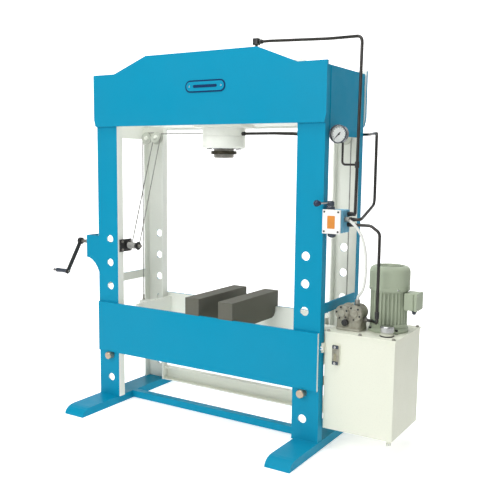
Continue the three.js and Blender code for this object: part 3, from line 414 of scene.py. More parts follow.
@dataclass(frozen=True)
class DialPrint(Finish):
    """Gauge dial: white card with a ring of black scale marks."""

    centre: tuple[float, float]
    radius: float

    def paint(self, graph: Graph) -> None:
        """Marks where the angle falls near a division and the radius on the ring."""
        g = graph
        x, _, z = g.here()
        dx = g.math("SUBTRACT", x, self.centre[0])
        dz = g.math("SUBTRACT", z, self.centre[1])
        angle = g.math("DIVIDE", g.math("ARCTAN2", dx, dz), 2 * math.pi)
        reach = g.math("SQRT", g.math("ADD", g.times(dx, dx), g.times(dz, dz)))
        share = g.math("DIVIDE", reach, self.radius)

        def ring(low: float, high: float) -> Any:
            """1 between two shares of the radius."""
            return g.times(g.over(share, low), g.math("LESS_THAN", share, high))

        def marks(count: int, width: float) -> Any:
            """1 within width of a division, of count in the whole turn."""
            turn = g.math("FRACT", g.math("ADD", g.times(angle, count), 0.5))
            return g.math("LESS_THAN", g.math("ABSOLUTE", g.math("SUBTRACT", turn, 0.5)), width)

        arc = g.math("LESS_THAN", g.math("ABSOLUTE", angle), 0.39)
        fine = g.times(marks(80, 0.16), ring(0.80, 0.90))
        bold = g.times(marks(16, 0.07), ring(0.70, 0.90))
        line = g.math("MAXIMUM", fine, g.math("MAXIMUM", bold, ring(0.895, 0.915)))
        ink = g.times(g.times(line, arc), 0.9)
        g.surface(Base_Color=g.mix(ink, (0.86, 0.86, 0.83), (0.03, 0.03, 0.03)), Roughness=0.5)


@dataclass(frozen=True)
class Glass(Finish):
    """Clear window over a dial or a level gauge."""

    tint: Point = (0.95, 0.97, 0.97)

    def paint(self, graph: Graph) -> None:
        """Thin clear glass with faint smears."""
        smear = graph.span(graph.noise(60.0, 3.0), 0.4, 0.8, 0.02, 0.12)
        graph.surface(Base_Color=self.tint, Roughness=smear, Transmission_Weight=1.0, IOR=1.1)


BLUE = (0.0, 0.262, 0.43)


@dataclass(frozen=True)
class Palette:
    """Every finish on the press."""

    frame: Finish = TwoTone("frame_paint", "frame_blue", BLUE, 0.42, inner=srgb(238, 241, 233))
    beam: Finish = TwoTone(
        "beam_paint", "frame_blue", BLUE, 0.42, inner=srgb(236, 238, 226), edges_inner=True
    )
    blue: Finish = Enamel("blue_enamel", "frame_blue", BLUE, 0.42)
    white: Finish = Enamel("white_enamel", "frame_white", srgb(238, 240, 232), 0.4)
    tank: Finish = Enamel("tank_enamel", "tank_cream", srgb(226, 228, 212), 0.42, 0.08)
    motor: Finish = Enamel("motor_enamel", "motor_grey_green", srgb(166, 176, 154), 0.42, 0.10)
    valve: Finish = Enamel("valve_enamel", "valve_blue", srgb(110, 172, 200), 0.38, 0.08)
    block: Finish = BlockSteel(
        "block_steel", "block_steel", (0.009, 0.009, 0.005), (0.17, 0.145, 0.10), (0.040, 0.023, 0.012)
    )
    bright: Finish = Metal("bright_steel", "machined_steel", (0.30, 0.29, 0.26), (0.12, 0.10, 0.08), 0.2, 0.2)
    sheave: Finish = Enamel("sheave_grey", "black_steel", srgb(196, 200, 190), 0.4)
    dark: Finish = Metal(
        "browned_steel", "block_steel", (0.05, 0.045, 0.03), (0.02, 0.018, 0.014), 0.3, 0.1, metallic=0.8
    )
    shaft: Finish = Metal(
        "shaft_steel", "machined_steel", (0.34, 0.33, 0.3), (0.1, 0.09, 0.07), 0.3, 0.2, "X"
    )
    chromed: Finish = Metal(
        "chrome_plate", "cap_chrome", (0.5, 0.51, 0.5), (0.1, 0.1, 0.1), 0.12, 0.02, stained=0.6
    )
    pin: Finish = Metal(
        "pin_steel", "pin_steel", (0.2, 0.155, 0.11), (0.06, 0.035, 0.02), 0.42, 0.3, "Y", 0.85
    )
    rope: Finish = Metal(
        "rope_wire", "rope_steel", (0.36, 0.36, 0.34), (0.1, 0.09, 0.08), 0.4, 0.1, stained=0.5
    )
    black_steel: Finish = Moulded("black_oxide", "black_steel", (0.012, 0.012, 0.012), 0.34)
    pipe: Finish = Metal(
        "pipe_black", "black_steel", (0.045, 0.043, 0.04), (0.09, 0.08, 0.07), 0.26, 0.04, metallic=0.7
    )
    plastic: Finish = Moulded("black_plastic", "black_plastic", (0.012, 0.012, 0.014), 0.28)
    knob: Finish = Moulded("knob_plastic", "black_plastic", (0.006, 0.02, 0.06), 0.22)
    cast: Finish = Casting("cast_grey", "cast_grey", (0.26, 0.25, 0.19), (0.10, 0.09, 0.07))
    cast_light: Finish = Casting("cast_light", "cast_grey", (0.36, 0.35, 0.28), (0.13, 0.12, 0.09))
    hose: Finish = Moulded("hose_grey", "hose_grey", (0.46, 0.48, 0.45), 0.5, 500.0, 0.25)
    label_white: Finish = Moulded("label_white", "tank_cream", (0.82, 0.82, 0.78), 0.45)
    label_orange: Finish = Moulded("label_orange", "valve_blue", (0.62, 0.22, 0.02), 0.5)
    badge_dark: Finish = Enamel("badge_navy", "black_plastic", (0.004, 0.03, 0.10), 0.3)
    glass: Finish = Glass("window_glass", "cap_chrome")
    oil: Finish = Moulded("oil_film", "cast_grey", (0.34, 0.31, 0.2), 0.2)


PAINTS = Palette()


# --------------------------------------------------------------------- surfaces
def surface_object(name: str, verts: Array, faces: Iterable[Sequence[int]]) -> bpy.types.Object:
    """A closed mesh object whose place is in its vertices.

    Args:
        name: the piece's name.
        verts: points, one row each.
        faces: corner numbers of each face.

    Returns:
        The object, its doubles merged, its normals outwards, smooth but for its
        sharp edges.
    """
    mesh = bpy.data.meshes.new(name)
    mesh.from_pydata(np.asarray(verts, float).tolist(), [], [list(f) for f in faces])
    work = bmesh.new()
    work.from_mesh(mesh)
    bmesh.ops.remove_doubles(work, verts=work.verts, dist=SAME_POINT)
    bmesh.ops.recalc_face_normals(work, faces=work.faces)
    work.to_mesh(mesh)
    work.free()
    mesh.shade_smooth()
    mesh.set_sharp_from_angle(angle=SHARP_EDGE)
    piece = bpy.data.objects.new(name, mesh)
    bpy.context.scene.collection.objects.link(piece)
    return piece


def grid_faces(rows: int, columns: int, ring: bool) -> Array:
    """Quads between neighbouring rows of a grid; ring joins last column to first."""
    j = np.arange(columns if ring else columns - 1)
    i = np.arange(rows - 1)
    a = (i[:, None] * columns + j[None, :]).ravel()
    b = (i[:, None] * columns + (j[None, :] + 1) % columns).ravel()
    return np.stack([a, b, b + columns, a + columns], 1)


def eased(points: Sequence[tuple[float, float]], radius: float, steps: int = 4) -> Array:
    """Profile with its inner corners rounded.

    Each corner gives way to a quadratic curve that starts and ends at most a
    radius, and at most half a side, away from it.
    """
    p = np.asarray(points, float)
    before, here, after = p[:-2], p[1:-1], p[2:]
    a, b = before - here, after - here
    la, lb = np.linalg.norm(a, axis=1), np.linalg.norm(b, axis=1)
    reach = np.minimum(radius, np.minimum(la, lb) * 0.49)[:, None]
    start = here + a / np.maximum(la, 1e-9)[:, None] * reach
    end = here + b / np.maximum(lb, 1e-9)[:, None] * reach
    t = np.linspace(0, 1, steps + 1)[None, :, None]
    curve = (1 - t) ** 2 * start[:, None] + 2 * t * (1 - t) * here[:, None] + t**2 * end[:, None]
    return np.vstack([p[:1], curve.reshape(-1, 2), p[-1:]])


def turned(
    name: str,
    profile: Sequence[tuple[float, float]] | Array,
    centre: Point,
    axis: Axis,
    sides: int = 64,
    closed: bool = False,
    tilt: float = 0.0,
    wave: Callable[[Array, Array], Array] | None = None,
) -> bpy.types.Object:
    """Turned piece: a profile of (radius, height) carried round an axis.

    Args:
        name: the piece's name.
        profile: radius and height pairs, in metres, ends on the axis or closed.
        centre: where height 0 of the axis lies.
        axis: direction of the axis.
        sides: steps round the axis.
        closed: True where the profile's last point joins its first.
        tilt: lean about +X after the turn, in radians.
        wave: radius from (radius, angle) for fins, knurls or teeth.

    Returns:
        The piece.
    """
    p = np.asarray(profile, float)
    if closed:
        p = np.vstack([p, p[:1]])
    angle = np.linspace(0, 2 * math.pi, sides, endpoint=False)
    radius = np.repeat(p[:, :1], sides, axis=1)
    if wave is not None:
        radius = wave(radius, angle[None, :])
    local = np.stack(
        [radius * np.cos(angle), radius * np.sin(angle), np.repeat(p[:, 1:], sides, axis=1)], -1
    ).reshape(-1, 3)
    turn = np.array(Matrix.Rotation(tilt, 3, "X")) @ axis.turn()
    verts = local @ turn.T + np.asarray(centre)
    faces = grid_faces(len(p), sides, True)
    return surface_object(name, verts, faces)


def along(points: Sequence[Point], bend: float, steps: int = 10) -> Array:
    """Route through corner points with every corner rounded to about a bend radius."""
    p = np.asarray(points, float)
    out = [p[0]]
    for before, here, after in zip(p[:-2], p[1:-1], p[2:]):
        a, b = before - here, after - here
        la, lb = np.linalg.norm(a), np.linalg.norm(b)
        turn = math.pi - math.acos(float(np.clip(a @ b / (la * lb), -1, 1)))
        reach = min(bend * math.tan(turn / 2), la / 2.05, lb / 2.05)
        start, end = here + a / la * reach, here + b / lb * reach
        t = np.linspace(0, 1, steps + 1)[:, None]
        out.extend((1 - t) ** 2 * start + 2 * t * (1 - t) * here + t**2 * end)
    out.append(p[-1])
    return np.array(out)


def respaced(path: Array, step: float) -> Array:
    """The same route with points an even step apart."""
    length = np.r_[0, np.cumsum(np.linalg.norm(np.diff(path, axis=0), axis=1))]
    count = max(2, int(round(length[-1] / step)) + 1)
    s = np.linspace(0, length[-1], count)
    return np.stack([np.interp(s, length, path[:, k]) for k in range(3)], 1)


def swept(
    name: str,
    path: Array,
    radius: float | Array,
    sides: int = 20,
    strands: int = 0,
    lay: float = 0.04,
) -> bpy.types.Object:
    """Round bar along a route, its ends closed.

    The section at each point stands square to the route's direction there. With
    strands, the radius dips between that many strands, which turn once round in
    each lay length.

    Args:
        name: the piece's name.
        path: route, one row a point.
        radius: one radius, or one for each point.
        sides: corners of the section.
        strands: how many strands a rope shows.
        lay: length of one turn of the strands, in metres.

    Returns:
        The piece.
    """
    path = np.asarray(path, float)
    tangent = np.gradient(path, axis=0)
    tangent /= np.linalg.norm(tangent, axis=1)[:, None]
    oblique = np.array([0.31, 0.53, 0.79])
    side = np.cross(tangent, oblique)
    side /= np.linalg.norm(side, axis=1)[:, None]
    up = np.cross(tangent, side)
    angle = np.linspace(0, 2 * math.pi, sides, endpoint=False)
    r = np.broadcast_to(np.asarray(radius, float).reshape(-1, 1), (len(path), sides))
    if strands:
        run = np.r_[0, np.cumsum(np.linalg.norm(np.diff(path, axis=0), axis=1))][:, None]
        twist = strands * (angle[None, :] - 2 * math.pi * run / lay) / 2
        r = r * (0.84 + 0.16 * np.abs(np.cos(twist)))
    ring = (
        path[:, None, :]
        + (r * np.cos(angle))[..., None] * side[:, None, :]
        + (r * np.sin(angle))[..., None] * up[:, None, :]
    )
    faces = grid_faces(len(path), sides, True).tolist()
    last = (len(path) - 1) * sides
    faces += [list(range(sides)), list(range(last, last + sides))]
    return surface_object(name, ring.reshape(-1, 3), faces)


def prism(
    name: str,
    outline: Sequence[tuple[float, float]] | Array,
    axis: Axis,
    low: float,
    high: float,
    bevel: float = 0.0,
    centre: Point = (0.0, 0.0, 0.0),
) -> bpy.types.Object:
    """Flat outline given a thickness along an axis, its edges eased by a bevel."""
    flat = np.asarray(outline, float)
    n = len(flat)
    local = np.vstack([np.c_[flat, np.full(n, low)], np.c_[flat, np.full(n, high)]])
    verts = local @ axis.turn().T + np.asarray(centre)
    faces = grid_faces(2, n, True).tolist()
    faces += [list(range(n)), list(range(n, 2 * n))]
    piece = surface_object(name, verts, faces)
    if bevel:
        tool = piece.modifiers.new("edges", "BEVEL")
        tool.width, tool.segments, tool.limit_method = bevel, 3, "ANGLE"
        tool.harden_normals = True
    return piece


def stadium(width: float, height: float, steps: int = 10) -> Array:
    """Outline with round ends, wider than it is high."""
    r = height / 2
    a = np.linspace(-math.pi / 2, math.pi / 2, steps + 1)
    right = np.c_[width / 2 - r + r * np.cos(a), r * np.sin(a)]
    return np.vstack([right, -right])


def rounded(width: float, height: float, radius: float, steps: int = 5) -> Array:
    """Rectangle about the origin with round corners."""
    a = np.linspace(0, math.pi / 2, steps + 1)
    arc = radius * np.c_[np.cos(a), np.sin(a)]
    x, y = width / 2 - radius, height / 2 - radius
    turns = [(1, 1, False), (-1, 1, True), (-1, -1, False), (1, -1, True)]
    out = []
    for sx, sy, back in turns:
        corner = arc * (sx, sy) + (sx * x, sy * y)
        out.append(corner[::-1] if back else corner)
    return np.vstack(out)


def hexagon(across: float, turn: float = 0.0) -> Array:
    """Six-sided outline of that width across its flats."""
    a = np.arange(6) * math.pi / 3 + turn
    return across / math.sqrt(3) * np.c_[np.cos(a), np.sin(a)]


def block(name: str, low: Point, high: Point, bevel: float) -> bpy.types.Object:
    """Box between two corners with its edges rounded."""
    lo, hi = np.asarray(low, float), np.asarray(high, float)
    mid, size = (lo + hi) / 2, hi - lo
    flat = rounded(size[0], size[1], min(bevel * 2, min(size[:2]) * 0.3))
    return prism(name, flat + mid[:2], Axis.Z, lo[2], hi[2], bevel)


# --------------------------------------------------------------- sub-assemblies
SIDES = ("left", "right")
SIGNS = (("left", -1), ("right", 1))
PRESS_SHIFT = (-0.038, -0.128)
WELD_RADIUS = 0.0034
WELD_RIPPLE = 0.006
WELD_STEP = 0.0015


def at(x: float, y: float, z: float) -> Point:
    """Row-frame point, in metres, of a place on the press in its own millimetres."""
    return (x * MM + PRESS_SHIFT[0], y * MM + PRESS_SHIFT[1], z * MM)


@dataclass
class SubAssembly:
    """A group of pieces that are made and dressed together."""

    made: list[str] = field(default_factory=list, init=False)

    def keep(
        self,
        piece: bpy.types.Object,
        finish: Finish,
        body: Body = Body.FRAME,
        nodes: Sequence[str] = (),
    ) -> None:
        """Dresses a new piece, puts it on its body and hides the nodes it replaces."""
        piece.data.materials.clear()
        piece.data.materials.append(finish.material())
        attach(piece, body.value)
        if nodes:
            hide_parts(*nodes)
        self.made.append(piece.name)

    def lathe(
        self,
        name: str,
        points: Profile,
        spot: Point,
        axis: Axis,
        finish: Finish,
        ease: float = 0.0,
        sides: int = 32,
        body: Body = Body.FRAME,
        nodes: Sequence[str] = (),
        place: Matrix | None = None,
        **shape: Any,
    ) -> None:
        """Keeps a turned piece whose profile is in millimetres.

        Args:
            name: the piece's name.
            points: radius and height pairs.
            spot: where height 0 of the axis lies.
            axis: direction of the axis.
            finish: what it is dressed in.
            ease: how far its corners are rounded, in millimetres.
            sides: steps round the axis.
            body: what it rides on.
            nodes: the CAD nodes it replaces.
            place: where it is moved to once it is turned.
            shape: what else turned() takes.
        """
        profile = np.asarray(points, float) * MM
        if ease:
            profile = eased(profile, ease * MM)
        piece = turned(name, profile, spot, axis, sides, **shape)
        if place is not None:
            piece.data.transform(place)
        self.keep(piece, finish, body, nodes)

    def plate(
        self,
        name: str,
        outline: Array,
        axis: Axis,
        span: tuple[float, float],
        spot: Point,
        finish: Finish,
        bevel: float = 0.0,
        body: Body = Body.FRAME,
        nodes: Sequence[str] = (),
    ) -> None:
        """Keeps a flat piece; span holds its two heights on the axis, in metres."""
        self.keep(prism(name, outline, axis, *span, bevel, spot), finish, body, nodes)

    def box(
        self, name: str, low: Point, high: Point, finish: Finish, bevel: float, nodes: Sequence[str] = ()
    ) -> None:
        """Keeps a box with rounded edges."""
        self.keep(block(name, low, high, bevel), finish, nodes=nodes)

    def bar(
        self,
        name: str,
        path: Array,
        radius: float | Array,
        finish: Finish,
        sides: int,
        body: Body = Body.FRAME,
        nodes: Sequence[str] = (),
    ) -> None:
        """Keeps a round bar along a route."""
        self.keep(swept(name, path, radius, sides), finish, body, nodes)

    def weld(self, name: str, route: Sequence[Point], finish: Finish, body: Body = Body.FRAME) -> None:
        """Keeps a fillet weld: a bar whose radius ripples along its route."""
        path = respaced(along(route, 0.004, 4), WELD_STEP)
        run = np.arange(len(path)) * WELD_STEP
        radius = WELD_RADIUS * (1 + 0.10 * np.sin(run * 2 * math.pi / WELD_RIPPLE))
        self.bar(name, path, radius, finish, 8, body)

    @staticmethod
    def dress(frame: dict[str, Any], finish: Finish, nodes: Iterable[str]) -> None:
        """Gives CAD nodes a finish in their own material slots."""
        for node in nodes:
            for place in frame["nodes"][node].material_slots:
                place.material = finish.material()

    def build(self, frame: dict[str, Any]) -> None:
        """Makes every piece of the group."""
        raise NotImplementedError


@dataclass
class FrameWork(SubAssembly):
    """Uprights, head, feet and ties, with their welds and name badge."""

    web: tuple[float, float] = (545.0, 685.0)
    rear: float = 435.0
    badge_size: tuple[float, float] = (0.237, 0.059)
    badge_at: Point = (41.0, -14.3, 1720.0)

    def build(self, frame: dict[str, Any]) -> None:
        """Dresses the CAD plates and adds welds and the badge."""
        plates = [f"upright_{row}_{side}" for row in ("front", "rear") for side in SIDES]
        plates += [f"{kind}_{side}" for kind in ("head_side_plate", "side_brace") for side in SIDES]
        self.dress(frame, PAINTS.frame, [*plates, "head_plate_front", "head_plate_rear"])
        self.dress(frame, PAINTS.blue, ["foot_left", "foot_right", "front_tie_bar"])
        self.dress(frame, PAINTS.beam, ["rear_lower_beam"])
        self.dress(frame, PAINTS.white, ["cylinder_plate_lower"])
        for side, sign in SIGNS:
            inner, outer = (sign * x for x in self.web)
            for kind in ("foot", "head", "flank"):
                for row, y, into in (("front", 0.0, 1), ("rear", self.rear, -1)):
                    back, face = y + 45 * into, y - 0.5 * into
                    route = {
                        "foot": [at(inner, y, 42.5), at(outer, y, 42.5), at(outer, back, 42.5)],
                        "head": [at(inner, face, 1535), at(outer, face, 1535)],
                        "flank": [at(outer, back, 1482), at(outer, back, 1786)],
                    }[kind]
                    self.weld(f"{kind}_weld_{row}_{side}", route, PAINTS.blue)
        self.badge()

    def badge(self) -> None:
        """Plain plate with a raised rim, one stripe and two rivets, and no words."""
        w, h = self.badge_size
        spot = at(*self.badge_at)
        for name, width, height, steps, rise, bevel, finish in (
            ("rim", w, h, 16, 0.0028, 0.0008, PAINTS.badge_dark),
            ("field", w - 0.014, h - 0.014, 16, 0.0034, 0.0005, PAINTS.blue),
            ("stripe", w * 0.6, h * 0.24, 8, 0.0042, 0.0004, PAINTS.badge_dark),
        ):
            outline = stadium(width, height, steps)
            self.plate(f"badge_{name}", outline, Axis.Y, (-rise, 0.0), spot, finish, bevel)
        x, y, z = self.badge_at
        rivet = [(0, -5.2), (2.4, -5.0), (4.2, -3.6), (4.2, 0), (0, 0)]
        for side, sign in SIGNS:
            spot = at(x + sign * 94, y, z)
            self.lathe(f"badge_rivet_{side}", rivet, spot, Axis.Y, PAINTS.chromed, 0.5, 20)


@dataclass
class Bed(SubAssembly):
    """The pinned bed, its pins and the two press blocks."""

    pin_radius: float = 20.0
    weld_z: tuple[float, float] = (312.0, 548.0)

    def build(self, frame: dict[str, Any]) -> None:
        """Dresses the plates and blocks, turns the pins and adds the welds."""
        self.dress(frame, PAINTS.frame, ["bed_plate_front", "bed_plate_rear"])
        self.dress(frame, PAINTS.white, ["bed_end_left", "bed_end_right"])
        self.dress(frame, PAINTS.block, ["press_block_left", "press_block_right"])
        for side, body in zip(SIDES, (Body.PIN_LEFT, Body.PIN_RIGHT)):
            low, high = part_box(f"pin_{side}")
            half, r = (high.y - low.y) / 2 / MM, self.pin_radius
            points = [(0, -half), (r - 3, -half), (r, -half + 3), (r, half - 3), (r - 3, half), (0, half)]
            spot = tuple((low + high) / 2)
            self.lathe(f"pin_turned_{side}", points, spot, Axis.Y, PAINTS.pin, 1.0, 48, body, [f"pin_{side}"])
        for side, sign in SIGNS:
            for row, y in (("front", 1.0), ("rear", 434.0)):
                route = [at(sign * 512, y, z) for z in self.weld_z]
                self.weld(f"bed_weld_{row}_{side}", route, PAINTS.white, Body.BED)


@dataclass
class Cylinder(SubAssembly):
    """Cylinder barrel, gland and cap, with the ram and its collar."""

    axis_y: float = 217.5
    bolts: int = 8
    bolt_ring: float = 84.0
    port_z: float = 1866.3

    def ring(self, name: str, points: Profile, finish: Finish, ease: float, **kept: Any) -> None:
        """One turned piece about the cylinder's own axis."""
        self.lathe(name, points, at(0, self.axis_y, 0), Axis.Z, finish, ease, 96, **kept)

    def build(self, frame: dict[str, Any]) -> None:
        """Turns every ring of the cylinder and screws the gland and cap down."""
        gland = [(52.9, 1426), (54.5, 1423.2), (104, 1423.2), (112, 1431), (112, 1484.8), (52.9, 1484.8)]
        self.ring("gland_turned", gland, PAINTS.white, 1.5, nodes=["cylinder_gland"], closed=True)
        wiper = [(52.8, 1424.5), (53.2, 1420.6), (57.5, 1420.2), (59.5, 1423.6), (57, 1425)]
        self.ring("ram_wiper", wiper, PAINTS.plastic, 0.4, closed=True)
        barrel = [
            (90, 1485.4), (112, 1485.4), (112, 1528.7), (158, 1528.7), (158, 1544.6), (112, 1544.6),
            (112, 1850), (90, 1850),
        ]
        self.ring("barrel_turned", barrel, PAINTS.white, 1.2, nodes=["cylinder_barrel"], closed=True)
        cap = [(0, 1850.4), (112, 1850.4), (112, 1882), (40, 1882), (38, 1880), (0, 1880)]
        self.ring("cap_turned", cap, PAINTS.white, 2.0, nodes=["cylinder_cap"])
        ram = [
            (0, 1378), (18, 1378), (20, 1374.2), (47, 1374.2), (52.5, 1379), (52.5, 1797), (88, 1797),
            (89, 1798), (89, 1813), (86, 1815), (86, 1823), (89, 1825), (89, 1841), (0, 1841),
        ]
        self.ring("ram_turned", ram, PAINTS.bright, 0.8, body=Body.RAM, nodes=["ram"])
        collar = [(52.8, 1393.2), (64.5, 1393.2), (67, 1395.6), (67, 1408.6), (64.5, 1411), (52.8, 1411)]
        kept = {"body": Body.RAM, "nodes": ["ram_collar"], "closed": True}
        self.ring("collar_turned", collar, PAINTS.dark, 0.6, **kept)
        screw = [(0, 1424), (3.5, 1424), (3.5, 1419), (7.2, 1419), (8, 1420), (8, 1424.5), (0, 1424.5)]
        for i in range(self.bolts):
            a = 2 * math.pi * (i + 0.5) / self.bolts
            spot = at(self.bolt_ring * math.cos(a), self.axis_y + self.bolt_ring * math.sin(a), 0)
            self.lathe(f"gland_screw_{i}", screw, spot, Axis.Z, PAINTS.black_steel, 0.0, 18)
            span, outline = (1.8815, 1.892), hexagon(0.017, a)
            self.plate(f"cap_bolt_{i}", outline, Axis.Z, span, spot, PAINTS.black_steel, 0.0008)
        self.elbow()

    def elbow(self) -> None:
        """Stub pipe out of the cap and the black elbow at the start of the long pipe."""
        y, z = self.axis_y, self.port_z
        route = along([at(106, y, z), at(190, y, z), at(190, y, 1940)], 0.026, 12)
        self.bar("cap_stub", route, 0.007, PAINTS.pipe, 24)
        self.plate("cap_stub_nut", hexagon(0.024), Axis.X, (0.111, 0.128), at(0, y, z), PAINTS.black_steel, 0.001)
        self.box("run_elbow", at(174, y - 15, 1935), at(206, y + 15, 1967.6), PAINTS.black_steel, 0.003)


@dataclass
class Winch(SubAssembly):
    """Hand winch: shaft, ratchet, drum, crank and its bracket."""

    shaft_y: float = 70.0
    shaft_z: float = 892.0
    teeth: int = 16
    crank_reach: float = 0.196
    lean: float = 32.7

    def on_shaft(
        self, name: str, points: Profile, finish: Finish, ease: float, sides: int, **kept: Any
    ) -> None:
        """One piece turned about the winch's shaft, on the winch's body."""
        kept.setdefault("closed", True)
        spot = at(0, self.shaft_y, self.shaft_z)
        self.lathe(name, points, spot, Axis.X, finish, ease, sides, Body.WINCH, **kept)

    def build(self, frame: dict[str, Any]) -> None:
        """Makes the turning parts and dresses the fixed ones."""
        self.dress(frame, PAINTS.blue, ["winch_bracket"])
        self.dress(frame, PAINTS.black_steel, ["winch_bearing_plate"])
        shaft = [(0, -905), (8, -905), (10, -903), (10, -442), (8, -440), (0, -440)]
        self.on_shaft("winch_rod", shaft, PAINTS.shaft, 0.4, 32, nodes=["winch_shaft"], closed=False)
        drum = [
            (10, -534), (22, -534), (23, -533), (23, -531), (22, -530), (15, -529.5), (15, -462.5),
            (22, -462), (23, -461), (23, -459), (22, -458), (10, -458),
        ]
        self.on_shaft("winch_drum", drum, PAINTS.black_steel, 0.5, 48)
        turns = [p for k in range(8) for p in ((15, -529 + 6.4 * k), (18.2, -525.8 + 6.4 * k))]
        self.on_shaft("drum_rope", [(14.5, -529), *turns, (14.5, -476)], PAINTS.rope, 2.0, 40)

        def saw(radius: Array, angle: Array) -> Array:
            """Radius less a ramp over each tooth, on the rim only."""
            ramp = np.mod(angle * self.teeth / (2 * math.pi), 1.0)
            return np.where(radius > 0.02, radius - 0.004 * ramp, radius)

        wheel = [(10, -605), (24, -605), (24, -595), (10, -595)]
        self.on_shaft("winch_ratchet", wheel, PAINTS.shaft, 0.0, self.teeth * 12, wave=saw)
        for k, (x, r) in enumerate(((-588, 15), (-548, 19))):
            boss = [(10, x), (r - 2, x), (r, x + 2), (r, x + 9), (r - 2, x + 11), (10, x + 11)]
            self.on_shaft(f"winch_boss_{k}", boss, PAINTS.black_steel, 0.5, 40)
        self.crank()
        self.bolts()

    def crank(self) -> None:
        """Flat crank arm with its hub, spindle and turning grip."""
        a, reach = math.radians(self.lean), self.crank_reach
        down = np.array([-math.sin(a), -math.cos(a)])
        across = np.array([down[1], -down[0]])
        outline = stadium(reach + 0.032, 0.024, 12) + np.array([reach / 2, 0])
        flat = outline[:, :1] * down + outline[:, 1:] * across
        hub_at = at(0, self.shaft_y, self.shaft_z)
        span = (-0.8962, -0.8878)
        arm = {"bevel": 0.002, "body": Body.WINCH, "nodes": ["winch_crank"]}
        self.plate("crank_arm", flat, Axis.X, span, hub_at, PAINTS.black_steel, **arm)
        hub = [(10.2, -902), (17, -902), (19, -900), (19, -882), (17, -880), (10.2, -880)]
        self.on_shaft("crank_hub", hub, PAINTS.black_steel, 0.6, 40)
        end = (hub_at[0], hub_at[1] + reach * down[0], hub_at[2] + reach * down[1])
        rod = [
            (0, -1001.5), (7, -1001.5), (7.6, -1000), (7.6, -997.4), (5, -997), (5, -884), (8, -884),
            (8, -879), (0, -879),
        ]
        self.lathe("crank_spindle", rod, end, Axis.X, PAINTS.shaft, 0.4, 28, Body.WINCH)
        grip = [
            (5.5, -897), (10, -897), (13, -901), (12.2, -912), (11.4, -940), (12.6, -968), (13, -975),
            (10.5, -982), (5.5, -982),
        ]
        kept = {"body": Body.GRIP, "nodes": ["crank_grip"], "closed": True}
        self.lathe("grip_turned", grip, end, Axis.X, PAINTS.plastic, 3.0, 40, **kept)

    def bolts(self) -> None:
        """Two bolts through the bracket into the upright, and four on the bearing plate."""
        for k, z in enumerate((880.0, 760.0)):
            span, spot = (-0.7005, -0.6912), at(0, 34, z)
            self.plate(f"bracket_bolt_{k}", hexagon(0.019, 0.3), Axis.X, span, spot, PAINTS.shaft, 0.001)
        for k, (dy, dz) in enumerate(((-44, -22), (-44, 22), (22, -22), (22, 22))):
            span, spot = (-0.5367, -0.530), at(0, self.shaft_y + dy, self.shaft_z + dz)
            self.plate(f"bearing_bolt_{k}", hexagon(0.013), Axis.X, span, spot, PAINTS.shaft, 0.0006)


